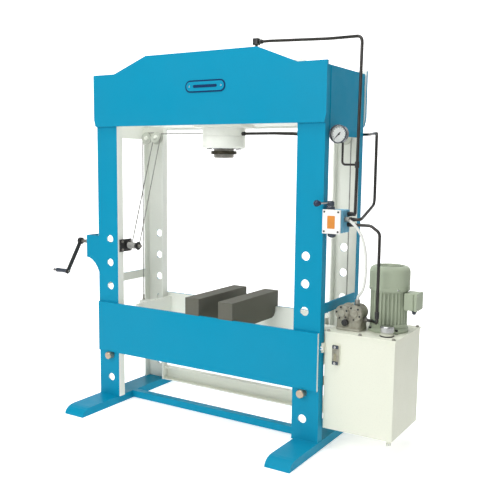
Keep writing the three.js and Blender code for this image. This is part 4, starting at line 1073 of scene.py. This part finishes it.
@dataclass
class Ropes(SubAssembly):
    """The two lifting ropes, their falls to the bed and the four sheaves.

    The riser sheaves lean back by tilt, so that the ropes leave them towards the
    drum; each runs in its own groove, set_apart to one side of their middle.
    """

    rope: float = 0.003
    strands: int = 6
    lay: float = 0.036
    step: float = 0.0022
    wrap: float = 30.3
    tilt: float = 0.401407
    riser: Point = (-545.0, 340.0, 1485.0)
    set_apart: float = 7.0
    fall_axis: float = 624.7
    fall_x: float = 655.0
    fall_start: float = 20.0
    lug_top: float = 528.7
    drum_y: float = 70.0
    drum_z: float = 892.0
    drum_wrap: float = 18.3

    def build(self, frame: dict[str, Any]) -> None:
        """Turns the sheaves and lays the ropes over them."""
        self.dress(frame, PAINTS.white, ["sheave_hanger_left", "sheave_hanger_right"])
        s, c = math.sin(self.tilt), math.cos(self.tilt)
        lean = self.set_apart * np.array([0, c, -s])
        risers = {side: np.array(self.riser) + sign * lean for side, sign in SIGNS}
        drop = self.wrap * np.array([0, s, c - 1])
        falls = {
            side: risers[side] * (0, 1, 1) + drop + (sign * self.fall_axis, 0, 0) for side, sign in SIGNS
        }
        for side, body in zip(SIDES, (Body.RISER_LEFT, Body.RISER_RIGHT)):
            self.sheave(f"riser_sheave_{side}", risers[side], -self.tilt, body, f"sheave_riser_{side}")
        for side, body in zip(SIDES, (Body.FALL_LEFT, Body.FALL_RIGHT)):
            self.sheave(f"fall_sheave_{side}", falls[side], 0.0, body, f"sheave_fall_{side}")
        drum = (self.drum_y + self.drum_wrap * c, self.drum_z - self.drum_wrap * s)
        for side, sign, x, first, last in (
            ("left", -1, -470.0, 3.9, 180.0),
            ("right", 1, -523.0, 184.6, 0.0),
        ):
            arcs = [self.arc(risers[side], first, 90.0, self.tilt), self.arc(falls[side], 90.0, last, 0.0)]
            self.lift(side, np.vstack([[(x, *drum)], *arcs]), falls[side], sign)

    def sheave(self, name: str, centre: Array, tilt: float, body: Body, node: str) -> None:
        """Grooved wheel with a bored hub."""
        half = [(13, -6), (14, -5), (24, -4), (33, -5.8), (34, -5.2), (34, -4.4), (27, -2.2)]
        points = [(8.3, -6), *half, (26.6, 0), *((r, -h) for r, h in reversed(half)), (8.3, 6)]
        kept = {"body": body, "nodes": [node], "closed": True, "tilt": tilt}
        self.lathe(name, points, at(*centre), Axis.Y, PAINTS.sheave, 0.6, 56, **kept)

    def arc(self, centre: Array, start: float, end: float, tilt: float) -> Array:
        """Rope's middle line round a sheave, in the press's millimetres."""
        a = np.radians(np.linspace(start, end, 24))
        up = self.wrap * np.sin(a)
        x = centre[0] + self.wrap * np.cos(a)
        return np.stack([x, centre[1] + up * math.sin(tilt), centre[2] + up * math.cos(tilt)], 1)

    def lift(self, side: str, over: Array, fall: Array, sign: int) -> None:
        """One rope from the drum over its two sheaves, and its fall down to the bed."""
        end = (sign * self.fall_x, fall[1], fall[2] - self.fall_start)
        placed = respaced(np.vstack([over, [end]]) * MM + (*PRESS_SHIFT, 0.0), self.step)
        line = swept(f"rope_line_{side}", placed, self.rope, 18, self.strands, self.lay)
        self.keep(line, PAINTS.rope, nodes=[f"rope_{side}"])
        top = at(*end)
        foot = (top[0], top[1], self.lug_top * MM + 0.002)
        down = respaced(np.array([top, foot]), self.step)
        drop = swept(f"rope_drop_{side}", down, self.rope, 18, self.strands, self.lay)
        drop.data.materials.append(PAINTS.rope.material())
        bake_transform(drop)
        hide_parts(f"rope_fall_{side}")
        self.made.append(drop.name)
        ferrule = [(0, 0.2), (7, 0.2), (8, 1.2), (8, 6), (5.2, 8), (5.2, 30), (4, 33), (0, 33)]
        spot = (*foot[:2], 0.5284)
        self.lathe(f"rope_ferrule_{side}", ferrule, spot, Axis.Z, PAINTS.shaft, 0.5, 28, Body.BED)


@dataclass
class PowerPack(SubAssembly):
    """Oil tank with its lid, electric motor, pump block, filler and level gauge."""

    motor: tuple[float, float] = (930.0, 222.0)
    filler: tuple[float, float] = (970.0, 100.0)
    lid_top: float = 580.3
    fins: int = 30
    fin_radius: float = 0.0859
    fin_depth: float = 0.008
    pump_at: tuple[float, float] = (718.0, 580.6)
    level_at: Point = (754.0, 24.0, 477.0)

    def build(self, frame: dict[str, Any]) -> None:
        """Dresses the tank and makes what stands on it."""
        self.dress(frame, PAINTS.tank, ["tank_body", "tank_lid"])
        self.dress(frame, PAINTS.cast, ["pump"])
        self.dress(frame, PAINTS.bright, ["motor_rotor"])
        self.motor_case()
        self.cowl()
        self.connection_box()
        self.pump_block()
        self.cap()
        self.level_gauge()
        self.small_parts()

    def on_motor(self, name: str, points: Profile, ease: float, sides: int, **kept: Any) -> None:
        """One closed ring about the motor's own axis."""
        self.lathe(name, points, at(*self.motor, 0), Axis.Z, PAINTS.motor, ease, sides, closed=True, **kept)

    def motor_case(self) -> None:
        """Finned stator case between two end rings, on its round flange."""
        case = [
            (42, 580.7), (90.5, 580.7), (92, 582), (92, 591), (90.5, 592.6), (82, 603.6), (85, 605),
            (86.5, 606), (86.5, 618), (85, 620), (85.9, 622), (85.9, 768), (85, 771), (86.8, 773),
            (86.8, 789), (85, 790), (20, 790), (20, 784), (60, 784), (60, 620), (42, 612),
        ]

        def ribs(radius: Array, angle: Array) -> Array:
            """Radius less a groove between every two fins, on the case's middle only."""
            share = np.mod(angle * self.fins / (2 * math.pi), 1.0)
            groove = np.clip((np.abs(share - 0.5) - 0.16) / 0.14, 0, 1)
            groove = 1 - groove * groove * (3 - 2 * groove)
            on_fins = np.abs(radius - self.fin_radius) < 2e-5
            return np.where(on_fins, radius - self.fin_depth * groove, radius)

        self.on_motor("motor_case", case, 0.9, self.fins * 10, wave=ribs, nodes=["motor_body"])

    def cowl(self) -> None:
        """Pressed fan cowl with a rolled lip and a ringed grille in its crown."""
        shell = [
            (90.6, 776), (93.5, 776), (93.5, 792), (92.4, 794), (93.4, 797), (93.4, 862), (90, 875),
            (80, 884.5), (66, 887), (64, 886), (64, 884), (78, 881.6), (87, 873), (90.5, 861),
        ]
        self.on_motor("cowl_shell", shell, 3.0, 96, nodes=["fan_cowl"])
        mx, my = self.motor
        a = np.linspace(0, 2 * math.pi, 13)
        for k, r in enumerate((12, 22, 32, 42, 52, 60)):
            wire = np.c_[r + 1.5 * np.cos(a), 884.6 + 1.5 * np.sin(a)][:-1]
            self.on_motor(f"cowl_ring_{k}", wire, 0.0, 64)
        for k in range(3):
            a = math.pi * k / 3 + 0.4
            reach = 66.5 * np.array([math.cos(a), math.sin(a)])
            ends = [at(mx + s * reach[0], my + s * reach[1], 883.6) for s in (-1, 1)]
            self.bar(f"cowl_bar_{k}", respaced(np.array(ends), 0.01), 0.0016, PAINTS.motor, 10)
        head = [(0, -96.4), (2.6, -96.2), (4.2, -94.8), (4.4, -92.6), (0, -92.6)]
        for k in range(4):
            turn = Matrix.Rotation(math.pi / 4 + math.pi * k / 2 + math.pi / 2, 3, "Z")
            place = Matrix.Translation(at(mx, my, 784)) @ turn.to_4x4()
            self.lathe(f"cowl_screw_{k}", head, ORIGIN, Axis.Y, PAINTS.chromed, 0.4, 16, place=place)

    def connection_box(self) -> None:
        """Terminal box with its lid, screws and cable gland."""
        mx, my = self.motor
        low, high = at(mx + 84, my - 44, 692), at(mx + 132, my + 44, 770)
        self.box("box_base", low, high, PAINTS.motor, 0.004, ["terminal_box"])
        span = (mx * MM + 0.133, mx * MM + 0.1475)
        outline = rounded(0.092, 0.082, 0.009)
        self.plate("box_lid", outline, Axis.X, span, at(0, my, 731), PAINTS.motor, 0.003)
        head = [(0, mx + 149.4), (3, mx + 149.2), (4, mx + 147.8), (4, mx + 146), (0, mx + 146)]
        for k, (dy, dz) in enumerate(((-38, -33), (-38, 33), (38, -33), (38, 33))):
            self.lathe(f"box_screw_{k}", head, at(0, my + dy, 731 + dz), Axis.X, PAINTS.chromed, 0.3, 16)
        spot = at(mx + 122, my, 0)
        self.plate("cable_gland", hexagon(0.023), Axis.Z, (0.679, 0.692), spot, PAINTS.plastic, 0.001)
        sleeve = [(0, 668.5), (7, 668.5), (8.5, 671), (9, 680), (0, 680)]
        self.lathe("gland_sleeve", sleeve, spot, Axis.Z, PAINTS.plastic, 0.8, 24)

    def pump_block(self) -> None:
        """Cast valve block with two round housings, bolts and a dark plug."""
        x, z = self.pump_at
        low, high = at(x, 97, z + 0.2), at(x + 122, 185, z + 70)
        self.box("pump_base", low, high, PAINTS.cast_light, 0.007, ["manifold_block"])
        self.box("pump_foot", at(x + 0.5, 96.4, z + 0.1), at(x + 121.5, 185.6, z + 12), PAINTS.cast, 0.003)
        for k, (cx, cz, r, y0, y1) in enumerate(((33, 82, 36, 84, 180), (92, 84, 38, 90, 176))):
            body = [
                (0, y0 + 2), (r * 0.45, y0), (r * 0.5, y0 + 5), (r * 0.8, y0 + 6), (r - 3, y0 + 4),
                (r, y0 + 9), (r, y0 + 26), (r - 2.5, y0 + 29), (r - 2.5, y1 - 22), (r, y1 - 19),
                (r, y1 - 3), (r - 3, y1), (0, y1),
            ]
            middle = at(x + cx, 0, z + cz)
            self.lathe(f"pump_housing_{k}", body, middle, Axis.Y, PAINTS.cast_light, 1.8, 64)
            head = [(0, y0 + 1), (3.6, y0 + 1), (4.4, y0 + 2), (4.4, y0 + 8), (0, y0 + 8)]
            for j in range(5):
                a = 2 * math.pi * (j + 0.3 * k) / 5 + 0.5
                spot = at(x + cx + (r - 9) * math.cos(a), 0, z + cz + (r - 9) * math.sin(a))
                self.lathe(f"housing_bolt_{k}_{j}", head, spot, Axis.Y, PAINTS.black_steel, 0.4, 14)
        plug = [(0, 80), (8, 80), (9, 82), (15, 82.4), (16, 84), (16, 98), (0, 98)]
        self.lathe("pump_plug", plug, at(x + 50, 0, z + 38), Axis.Y, PAINTS.black_steel, 0.8, 40)
        spot = at(0, 140, z + 52)
        stub = [(0, x + 118), (9, x + 118), (9, x + 139.6), (0, x + 139.6)]
        self.lathe("pump_port", stub, spot, Axis.X, PAINTS.shaft, 0.5, 28)
        span = ((x + 121) * MM, (x + 135) * MM)
        self.plate("pump_port_nut", hexagon(0.026), Axis.X, span, spot, PAINTS.shaft, 0.001)
        neck = [(0, z + 116), (11, z + 116), (12, z + 118), (12, z + 121.8), (0, z + 121.8)]
        self.lathe("hose_socket", neck, at(x + 92, 130, 0), Axis.Z, PAINTS.black_steel, 0.5, 28)

    def cap(self) -> None:
        """Knurled chrome filler breather on its black flange."""
        top, spot = self.lid_top, at(*self.filler, 0)
        cap = [
            (0, top + 26.6), (24.6, top + 26.6), (24.8, top + 18.2), (30, top + 18.2), (31, top + 20),
            (30.9, top + 42), (29, top + 47), (22, top + 50.5), (0, top + 52),
        ]

        def knurl(radius: Array, angle: Array) -> Array:
            """Radius less a shallow flute, on the skirt only."""
            return np.where(radius > 0.0302, radius - 0.0007 * (0.5 - 0.5 * np.cos(angle * 40)), radius)

        kept = {"body": Body.BREATHER, "nodes": ["filler_cap"], "wave": knurl}
        self.lathe("breather_cap", cap, spot, Axis.Z, PAINTS.chromed, 1.2, 320, **kept)
        flange = [
            (17.2, top + 0.2), (32, top + 0.2), (33, top + 1.5), (33, top + 4), (31, top + 5.5),
            (17.2, top + 5.5),
        ]
        self.lathe("filler_flange", flange, spot, Axis.Z, PAINTS.black_steel, 0.6, 48, closed=True)

    def level_gauge(self) -> None:
        """Oil level gauge: cast frame, clear window, oil behind it and two banjo bolts."""
        x, y, z = self.level_at
        for name, outline, span, drop, finish, bevel in (
            ("frame", rounded(0.033, 0.094, 0.006), (-0.004, 0.0), 0, PAINTS.cast_light, 0.0015),
            ("window", rounded(0.016, 0.056, 0.004), (-0.0052, 0.0), 0, PAINTS.glass, 0.001),
            ("oil", rounded(0.014, 0.034, 0.003), (-0.0045, -0.001), 10, PAINTS.oil, 0.0005),
        ):
            self.plate(f"level_{name}", outline, Axis.Y, span, at(x, y, z - drop), finish, bevel)
        for k, end in enumerate((z - 38.0, z + 38.0)):
            low, high = at(x - 15, y - 6.5, end - 8), at(x + 15, y - 0.5, end + 8)
            self.box(f"level_end_{k}", low, high, PAINTS.plastic, 0.0015)
            span, spot = (-0.0105, -0.006), at(x, y, end)
            self.plate(f"level_bolt_{k}", hexagon(0.011), Axis.Y, span, spot, PAINTS.chromed, 0.0006)

    def small_parts(self) -> None:
        """Bolt heads and washers on the lid, flange and hanger."""
        mx, my = self.motor
        ear = [(0, 581), (12, 581), (13, 582), (13, 591), (12, 592.4), (0, 592.4)]
        for k in range(4):
            a = math.pi / 4 + math.pi * k / 2
            spot = at(mx + 88 * math.cos(a), my + 88 * math.sin(a), 0)
            self.lathe(f"flange_ear_{k}", ear, spot, Axis.Z, PAINTS.motor, 0.6, 32)
            span, outline = (0.592, 0.600), hexagon(0.014, a)
            self.plate(f"flange_bolt_{k}", outline, Axis.Z, span, spot, PAINTS.black_steel, 0.0008)
        washer = [(0, 580.4), (9, 580.4), (9.4, 580.8), (9.4, 582), (0, 582)]
        places = [(x, y) for x in (708.0, 864.0, 1024.0) for y in (43.0, 367.0)]
        for k, place in enumerate(places):
            spot, outline = at(*place, 0), hexagon(0.0128, 0.2 * k)
            self.lathe(f"lid_washer_{k}", washer, spot, Axis.Z, PAINTS.bright, 0.2, 28)
            self.plate(f"lid_bolt_{k}", outline, Axis.Z, (0.5818, 0.5878), spot, PAINTS.shaft, 0.0008)
        disc = [(0, 3.6), (8.5, 3.8), (9.2, 5.6), (9.2, 7.8), (0, 7.8)]
        self.lathe("hanger_washer", disc, at(689, 0, 502), Axis.Y, PAINTS.label_white, 0.5, 32)
        spot = at(689, 4.4, 502)
        self.plate("hanger_bolt", hexagon(0.007), Axis.Y, (-0.0028, 0.004), spot, PAINTS.blue, 0.0004)
        spot = at(1008, 69, 0)
        self.plate("drain_head", hexagon(0.021), Axis.Z, (0.0835, 0.0935), spot, PAINTS.chromed, 0.001)


@dataclass
class Valve(SubAssembly):
    """Hand valve: labelled face, ribbed housing, two round caps and the lever."""

    x0: float = 690.0
    x1: float = 778.0
    y0: float = -20.0
    z0: float = 1040.0
    z1: float = 1149.0
    hub: tuple[float, float] = (715.0, 12.0)
    port_y: float = 71.0
    lever_z: float = 1176.0
    lever_way: tuple[float, float] = (-62.0, -92.0)
    reach: float = 52.0

    def build(self, frame: dict[str, Any]) -> None:
        """Makes the housing, its face and caps, and the lever."""
        x0, x1, y0, z0, z1 = self.x0, self.x1, self.y0, self.z0, self.z1
        low, high = at(x0 + 2, y0 + 10, z0 + 4), at(x1 - 3, y0 + 118, z1 - 3)
        self.box("valve_core", low, high, PAINTS.valve, 0.004, ["valve_body"])
        for k in range(3):
            y = y0 + 26 + 31 * k
            low, high = at(x0 + 1, y, z0 + 3.2), at(x1 - 0.5, y + 20, z1 - 2.2)
            self.box(f"valve_land_{k}", low, high, PAINTS.valve, 0.003)
        low, high = at(685.4, 4.5, z0 + 12.5), at(692, y0 + 114, z1 - 12.5)
        self.box("valve_bracket", low, high, PAINTS.blue, 0.0015)
        low, high = at(x0 + 0.2, y0 + 0.2, z0 + 0.2), at(x1 - 0.2, y0 + 11, z1 - 0.2)
        self.box("valve_face", low, high, PAINTS.label_white, 0.0016)
        cx, cz = (x0 + x1) / 2, (z0 + z1) / 2
        card, spot = rounded(0.037, 0.058, 0.003), at(cx, y0, cz - 2)
        self.plate("valve_label", card, Axis.Y, (-0.0005, 0.0004), spot, PAINTS.label_orange, 0.0001)
        head = [(0, -2.6), (3.2, -2.6), (4.4, -1.8), (4.4, 1), (0, 1)]
        for k, (dx, dz) in enumerate(((-34, -44), (-34, 44), (34, -44), (34, 44))):
            spot = at(cx + dx, y0, cz + dz)
            self.lathe(f"valve_screw_{k}", head, spot, Axis.Y, PAINTS.black_steel, 0.4, 20)
        hx, hy = self.hub
        top = [(0, z1 - 3), (19, z1 - 3), (20, z1 - 1), (20, z1 + 9), (16.5, z1 + 13.6), (0, z1 + 13.6)]
        self.lathe("valve_cap_top", top, at(hx, hy, 0), Axis.Z, PAINTS.plastic, 1.6, 48)
        foot = [(0, z0 - 20), (11, z0 - 20), (18, z0 - 15), (20, z0 - 9), (20, z0 + 3), (0, z0 + 3)]
        self.lathe("valve_cap_bottom", foot, at(hx + 6, hy + 8, 0), Axis.Z, PAINTS.plastic, 2.0, 48)
        span = ((x1 - 2) * MM, (x1 + 15.8) * MM)
        for k in range(3):
            spot = at(0, self.port_y, z1 - 22 - 24 * k)
            self.plate(f"valve_port_{k}", hexagon(0.0195), Axis.X, span, spot, PAINTS.black_steel, 0.001)
        self.lever()

    def lever(self) -> None:
        """Turning hub, rod and pear-shaped knob, pointing to the left and forwards."""
        hx, hy = self.hub
        z, body = self.lever_z, Body.LEVER
        hub = [
            (0, z - 12.4), (15.5, z - 12.4), (17, z - 10.5), (17, z + 5), (12, z + 10), (5, z + 11),
            (0, z + 11),
        ]
        self.lathe("lever_hub", hub, at(hx, hy, 0), Axis.Z, PAINTS.plastic, 2.0, 48, body, ["valve_lever"])
        way = np.array(self.lever_way) / math.hypot(*self.lever_way)
        ends = [at(hx + way[0] * d, hy + way[1] * d, z) for d in (8, self.reach + 2)]
        self.bar("lever_rod", respaced(np.array(ends), 0.008), 0.0045, PAINTS.chromed, 20, body)
        knob = [(0, -18), (5, -17), (8, -15), (13, -6), (15.6, 4), (14.5, 11), (9, 17), (0, 19.5)]
        turn = Matrix.Rotation(math.atan2(way[1], way[0]) - math.pi / 2, 4, "Z")
        far = self.reach + 16
        place = Matrix.Translation(at(hx + way[0] * far, hy + way[1] * far, z)) @ turn
        self.lathe("lever_knob", knob, ORIGIN, Axis.Y, PAINTS.knob, 4.0, 40, body, place=place)


@dataclass
class Gauge(SubAssembly):
    """Pressure gauge: case, bezel, printed dial, needle and glass."""

    centre: tuple[float, float] = (736.0, 1484.0)
    front: float = 20.0
    radius: float = 42.0
    reading: float = 225.0

    def build(self, frame: dict[str, Any]) -> None:
        """Makes the gauge from the back forwards."""
        cx, cz = self.centre
        c, y, r = at(cx, 0, cz), self.front, self.radius
        case = [
            (0, y + 36), (r - 6, y + 36), (r - 2, y + 33), (r - 1.5, y + 6), (r, y + 5), (r, y + 1.5),
            (r - 1.5, y), (r - 4.5, y + 0.4), (r - 5, y + 3), (r - 5, y + 16), (0, y + 16),
        ]
        self.lathe("gauge_shell", case, c, Axis.Y, PAINTS.plastic, 1.0, 96, nodes=["gauge_case"])
        dial = [(0, y + 14.6), (r - 5.1, y + 14.6), (r - 5.1, y + 16.5), (0, y + 16.5)]
        card = DialPrint("dial_print", "tank_cream", (c[0], c[2]), (r - 5.1) * MM)
        self.lathe("gauge_dial", dial, c, Axis.Y, card, 0.0, 64)
        glass = [(0, y + 2.2), (r - 5, y + 3.4), (r - 5, y + 5.0), (0, y + 4.0)]
        self.lathe("gauge_window", glass, c, Axis.Y, PAINTS.glass, 0.6, 64)
        span = ((y + 36) * MM, (y + 48) * MM)
        self.plate("gauge_nut", hexagon(0.017), Axis.Y, span, c, PAINTS.shaft, 0.0008)
        black, body = replace(PAINTS.black_steel, slot="black_plastic"), Body.NEEDLE
        boss = [(0, y + 9.8), (2.4, y + 9.8), (4, y + 11), (4, y + 15), (0, y + 15)]
        self.lathe("needle_boss", boss, c, Axis.Y, black, 0.5, 28, body, ["gauge_needle"])
        a = math.radians(self.reading)
        way = np.array([math.sin(a), math.cos(a)])
        side = np.array([way[1], -way[0]])
        shape = [(-11, 1.8), (0, 2.6), (26, 0.5), (27, 0.0), (26, -0.5), (0, -2.6), (-11, -1.8)]
        flat = np.array([(u * way + v * side) for u, v in shape]) * MM
        span = ((y + 10.6) * MM, (y + 11.6) * MM)
        self.plate("needle_pointer", flat, Axis.Y, span, c, black, 0.0, body)


@dataclass
class Pipes(SubAssembly):
    """Steel pipes with their unions, and the grey return hose."""

    hose: float = 0.0065
    bore: float = 0.007
    port_x: float = 794.3
    port_y: float = 71.0
    port_z: tuple[float, float, float] = (1127.0, 1103.0, 1079.0)
    x: float = 810.0
    ram_y: float = 217.5

    def build(self, frame: dict[str, Any]) -> None:
        """Bends every pipe along its route."""
        self.hose_run()
        z1, z2, z3 = self.port_z
        y, start, px, mid = self.port_y, self.port_x, self.x, self.ram_y
        fx, fy = px + 121, y - 1
        rise = [
            at(207.3, mid, 1950), at(260, mid, 1950), at(620, 157.5, 1925), at(px + 2, y + 16, 1912),
            at(px, y, z1), at(start, y, z1),
        ]
        branch = [at(px, y, 1349), at(736, 80, 1349), at(736, 80, 1484), at(736, 68, 1484)]
        back = [
            at(start, y, z2), at(px + 26, y, z2), at(px + 18, y + 45, z2 + 6), at(px, 300, z2 + 60),
            at(px, 300, 1485), at(px - 10, 324, 1499), at(700, 479, 1499), at(420, 479, 1499),
            at(300, mid, 1499), at(112.3, mid, 1499),
        ]
        feed = [
            at(start, y, z3), at(fx - 44, y, z3), at(fx, fy, z3 - 30), at(fx, fy, 690),
            at(fx, fy + 4, 636.6), at(886, 140, 632.6), at(858.3, 140, 632.6),
        ]
        for name, route, radius, bend, nodes in (
            ("pressure_run", rise, self.bore, 0.034, ["pressure_pipe"]),
            ("gauge_run", branch, 0.005, 0.018, []),
            ("return_run", back, self.bore, 0.042, ["return_pipe"]),
            ("pump_run", feed, self.bore, 0.034, ["pump_pipe"]),
        ):
            self.bar(name, along(route, bend, 14), radius, PAINTS.pipe, 28, nodes=nodes)
        for k, z in enumerate(self.port_z):
            self.union(f"port_union_{k}", Axis.X, start + 0.5, at(0, y, z), 0.017)
        self.union("run_union", Axis.X, 208.5, at(0, mid, 1950), 0.021)
        self.union("feed_union", Axis.Z, 662, at(fx, fy + 0.6, 0), 0.019, 0.03)
        self.union("tee_union", Axis.Z, 1335, at(px + 0.3, y + 4, 0), 0.019, 0.028)
        self.union("low_port_union", Axis.X, 113, at(0, mid, 1499), 0.02)

    def union(
        self, name: str, axis: Axis, start: float, centre: Point, across: float, length: float = 0.016
    ) -> None:
        """Hexagonal union nut on a pipe; start is where it begins along its axis."""
        span = (start * MM, start * MM + length)
        self.plate(name, hexagon(across), axis, span, centre, PAINTS.black_steel, 0.001)

    def hose_run(self) -> None:
        """Grey hose from the valve down to the pump block, on a smooth curve.

        Its middle line is a clamped cubic B-spline through the route's corners.
        """
        y = self.port_y - 38
        corners = np.array([
            at(778.3, y, 1105), at(802, y, 1105), at(858, 60, 1039), at(872, 72, 919), at(866, 80, 820.3),
            at(840, 107, 760.3), at(810, 130, 746.6), at(810, 130, 702.9),
        ])
        p = np.vstack([corners[:1], corners[:1], corners, corners[-1:], corners[-1:]])
        t = np.linspace(0, 1, 14, endpoint=False)[:, None]
        weights = (
            (1 - t) ** 3 / 6,
            (3 * t**3 - 6 * t**2 + 4) / 6,
            (-3 * t**3 + 3 * t**2 + 3 * t + 1) / 6,
            t**3 / 6,
        )
        spans = [sum(w * p[i + k] for k, w in enumerate(weights)) for i in range(len(p) - 3)]
        path = respaced(np.vstack([*spans, corners[-1:]]), 0.012)
        piece = swept("return_hose_line", path, self.hose, 24)
        self.keep(piece, PAINTS.hose, nodes=["return_hose"])
        ferrule = [(9.3, 0.5), (11, 0.5), (12, 1.5), (12, 20), (10.4, 24), (9.3, 24)]
        for k, (point, axis) in enumerate(((path[0], Axis.X), (path[-1], Axis.Z))):
            self.lathe(f"hose_ferrule_{k}", ferrule, tuple(point), axis, PAINTS.shaft, 0.6, 32, closed=True)


# ------------------------------------------------------------------------ studio
@dataclass
class Studio:
    """Pale floor and backdrop, soft lamps and the camera."""

    eye: Point = (2.04628, -3.05076, 1.35541)
    ahead: Point = (-0.51949134, 0.84521935, -0.1254312)
    up: Point = (-0.07596824, 0.10052616, 0.9920299)
    lens: float = 51.38
    shift: tuple[float, float] = (0.0043, 0.0044)
    glow: tuple[float, float] = (0.34, 0.74)
    stand_off: float = 3.7

    def camera(self) -> None:
        """Long-lens camera to the right of the press, looking slightly down at it."""
        data = bpy.data.cameras.new("camera")
        data.lens, data.sensor_width = self.lens, 36.0
        data.shift_x, data.shift_y = self.shift
        data.clip_end = 60.0
        view = bpy.data.objects.new("camera", data)
        bpy.context.scene.collection.objects.link(view)
        back = -Vector(self.ahead)
        up = Vector(self.up)
        right = up.cross(back)
        turn = Matrix((right, up, back)).transposed().to_4x4()
        view.matrix_world = Matrix.Translation(self.eye) @ turn
        bpy.context.scene.camera = view

    def lamp(self, name: str, where: Point, aim: Point, size: float, power: float) -> None:
        """Large soft lamp aimed at a point."""
        data = bpy.data.lights.new(name, "AREA")
        data.shape, data.size, data.energy = "DISK", size, power
        light = bpy.data.objects.new(name, data)
        bpy.context.scene.collection.objects.link(light)
        light.location = where
        light.rotation_euler = (Vector(aim) - Vector(where)).to_track_quat("-Z", "Y").to_euler()

    def floor(self) -> None:
        """Floor that sweeps up into a backdrop on every side.

        A grid of rings: flat to nine metres from the press, then rising along a
        quarter circle of two metres, then straight up. It glows behind the press.
        """
        bend = np.linspace(0, math.pi / 2, 12)
        radius = np.r_[0.001, 2.0, 4.0, 9.0 + 2.0 * np.sin(bend), 11.0]
        height = np.r_[0, 0, 0, 2.0 - 2.0 * np.cos(bend), 9.0]
        a = np.linspace(0, 2 * math.pi, 72, endpoint=False)
        ring = np.stack(
            [radius[:, None] * np.cos(a), radius[:, None] * np.sin(a), np.repeat(height[:, None], 72, 1)], -1
        )
        piece = surface_object("floor", ring.reshape(-1, 3), grid_faces(len(radius), 72, True))
        piece.data.flip_normals()
        graph = Graph("floor_paper")
        x, y, _ = graph.here()
        ax, ay, _ = self.ahead
        far = graph.math("ADD", graph.times(x, ax), graph.times(y, ay))
        side = graph.math("ADD", graph.times(x, ay), graph.times(y, -ax))
        depth = graph.math("MAXIMUM", graph.math("ADD", far, self.stand_off), 0.05)
        spread = graph.math("DIVIDE", graph.math("ABSOLUTE", side), depth)
        before = graph.span(far, -3.4, -2.2, 0.0, 1.0)
        inside = graph.times(graph.span(spread, 0.44, 0.80, 1.0, 0.08), before)
        graph.surface(
            Base_Color=graph.mix(graph.noise(1.5, 3.0), (0.90, 0.90, 0.90), (0.93, 0.93, 0.93)),
            Roughness=0.9,
            Emission_Color=(1.0, 1.0, 1.0),
            Emission_Strength=graph.times(graph.span(far, -0.6, 1.6, *self.glow), inside),
        )
        piece.data.materials.append(graph.material)

    def build(self) -> None:
        """Sets up the floor, the light and an even white surround."""
        self.floor()
        scene = bpy.context.scene
        scene.view_settings.view_transform = "Standard"
        world = bpy.data.worlds.new("studio")
        world.use_nodes = True
        sky = world.node_tree.nodes["Background"]
        sky.inputs["Color"].default_value = (1, 1, 1, 1)
        sky.inputs["Strength"].default_value = 0.30
        scene.world = world
        self.lamp("key", (-0.6, -5.0, 3.4), (0, 0, 0.9), 3.0, 135)
        self.lamp("fill", (4.6, -0.6, 2.6), (0, 0, 0.9), 2.4, 3)
        self.lamp("top", (0.3, -0.5, 4.6), (0, -0.3, 0.0), 3.4, 130)


def corners(low: Vector, high: Vector) -> list[list[float]]:
    """Two corners as plain lists."""
    return [list(map(float, low)), list(map(float, high))]


def main() -> None:
    """Loads the frame, builds the studio and every sub-assembly, and logs how many pieces each group makes."""
    logging.basicConfig(level=logging.INFO, format="%(name)s: %(message)s")
    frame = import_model()
    studio = Studio()
    studio.camera()
    groups: list[SubAssembly] = [
        Pipes(), FrameWork(), Bed(), Cylinder(), Winch(), Ropes(), PowerPack(), Valve(), Gauge(),
    ]
    for group in groups:
        group.build(frame)
        LOG.info("%s: %d pieces", type(group).__name__, len(group.made))
    studio.build()


if __name__ == "__main__":
    main()
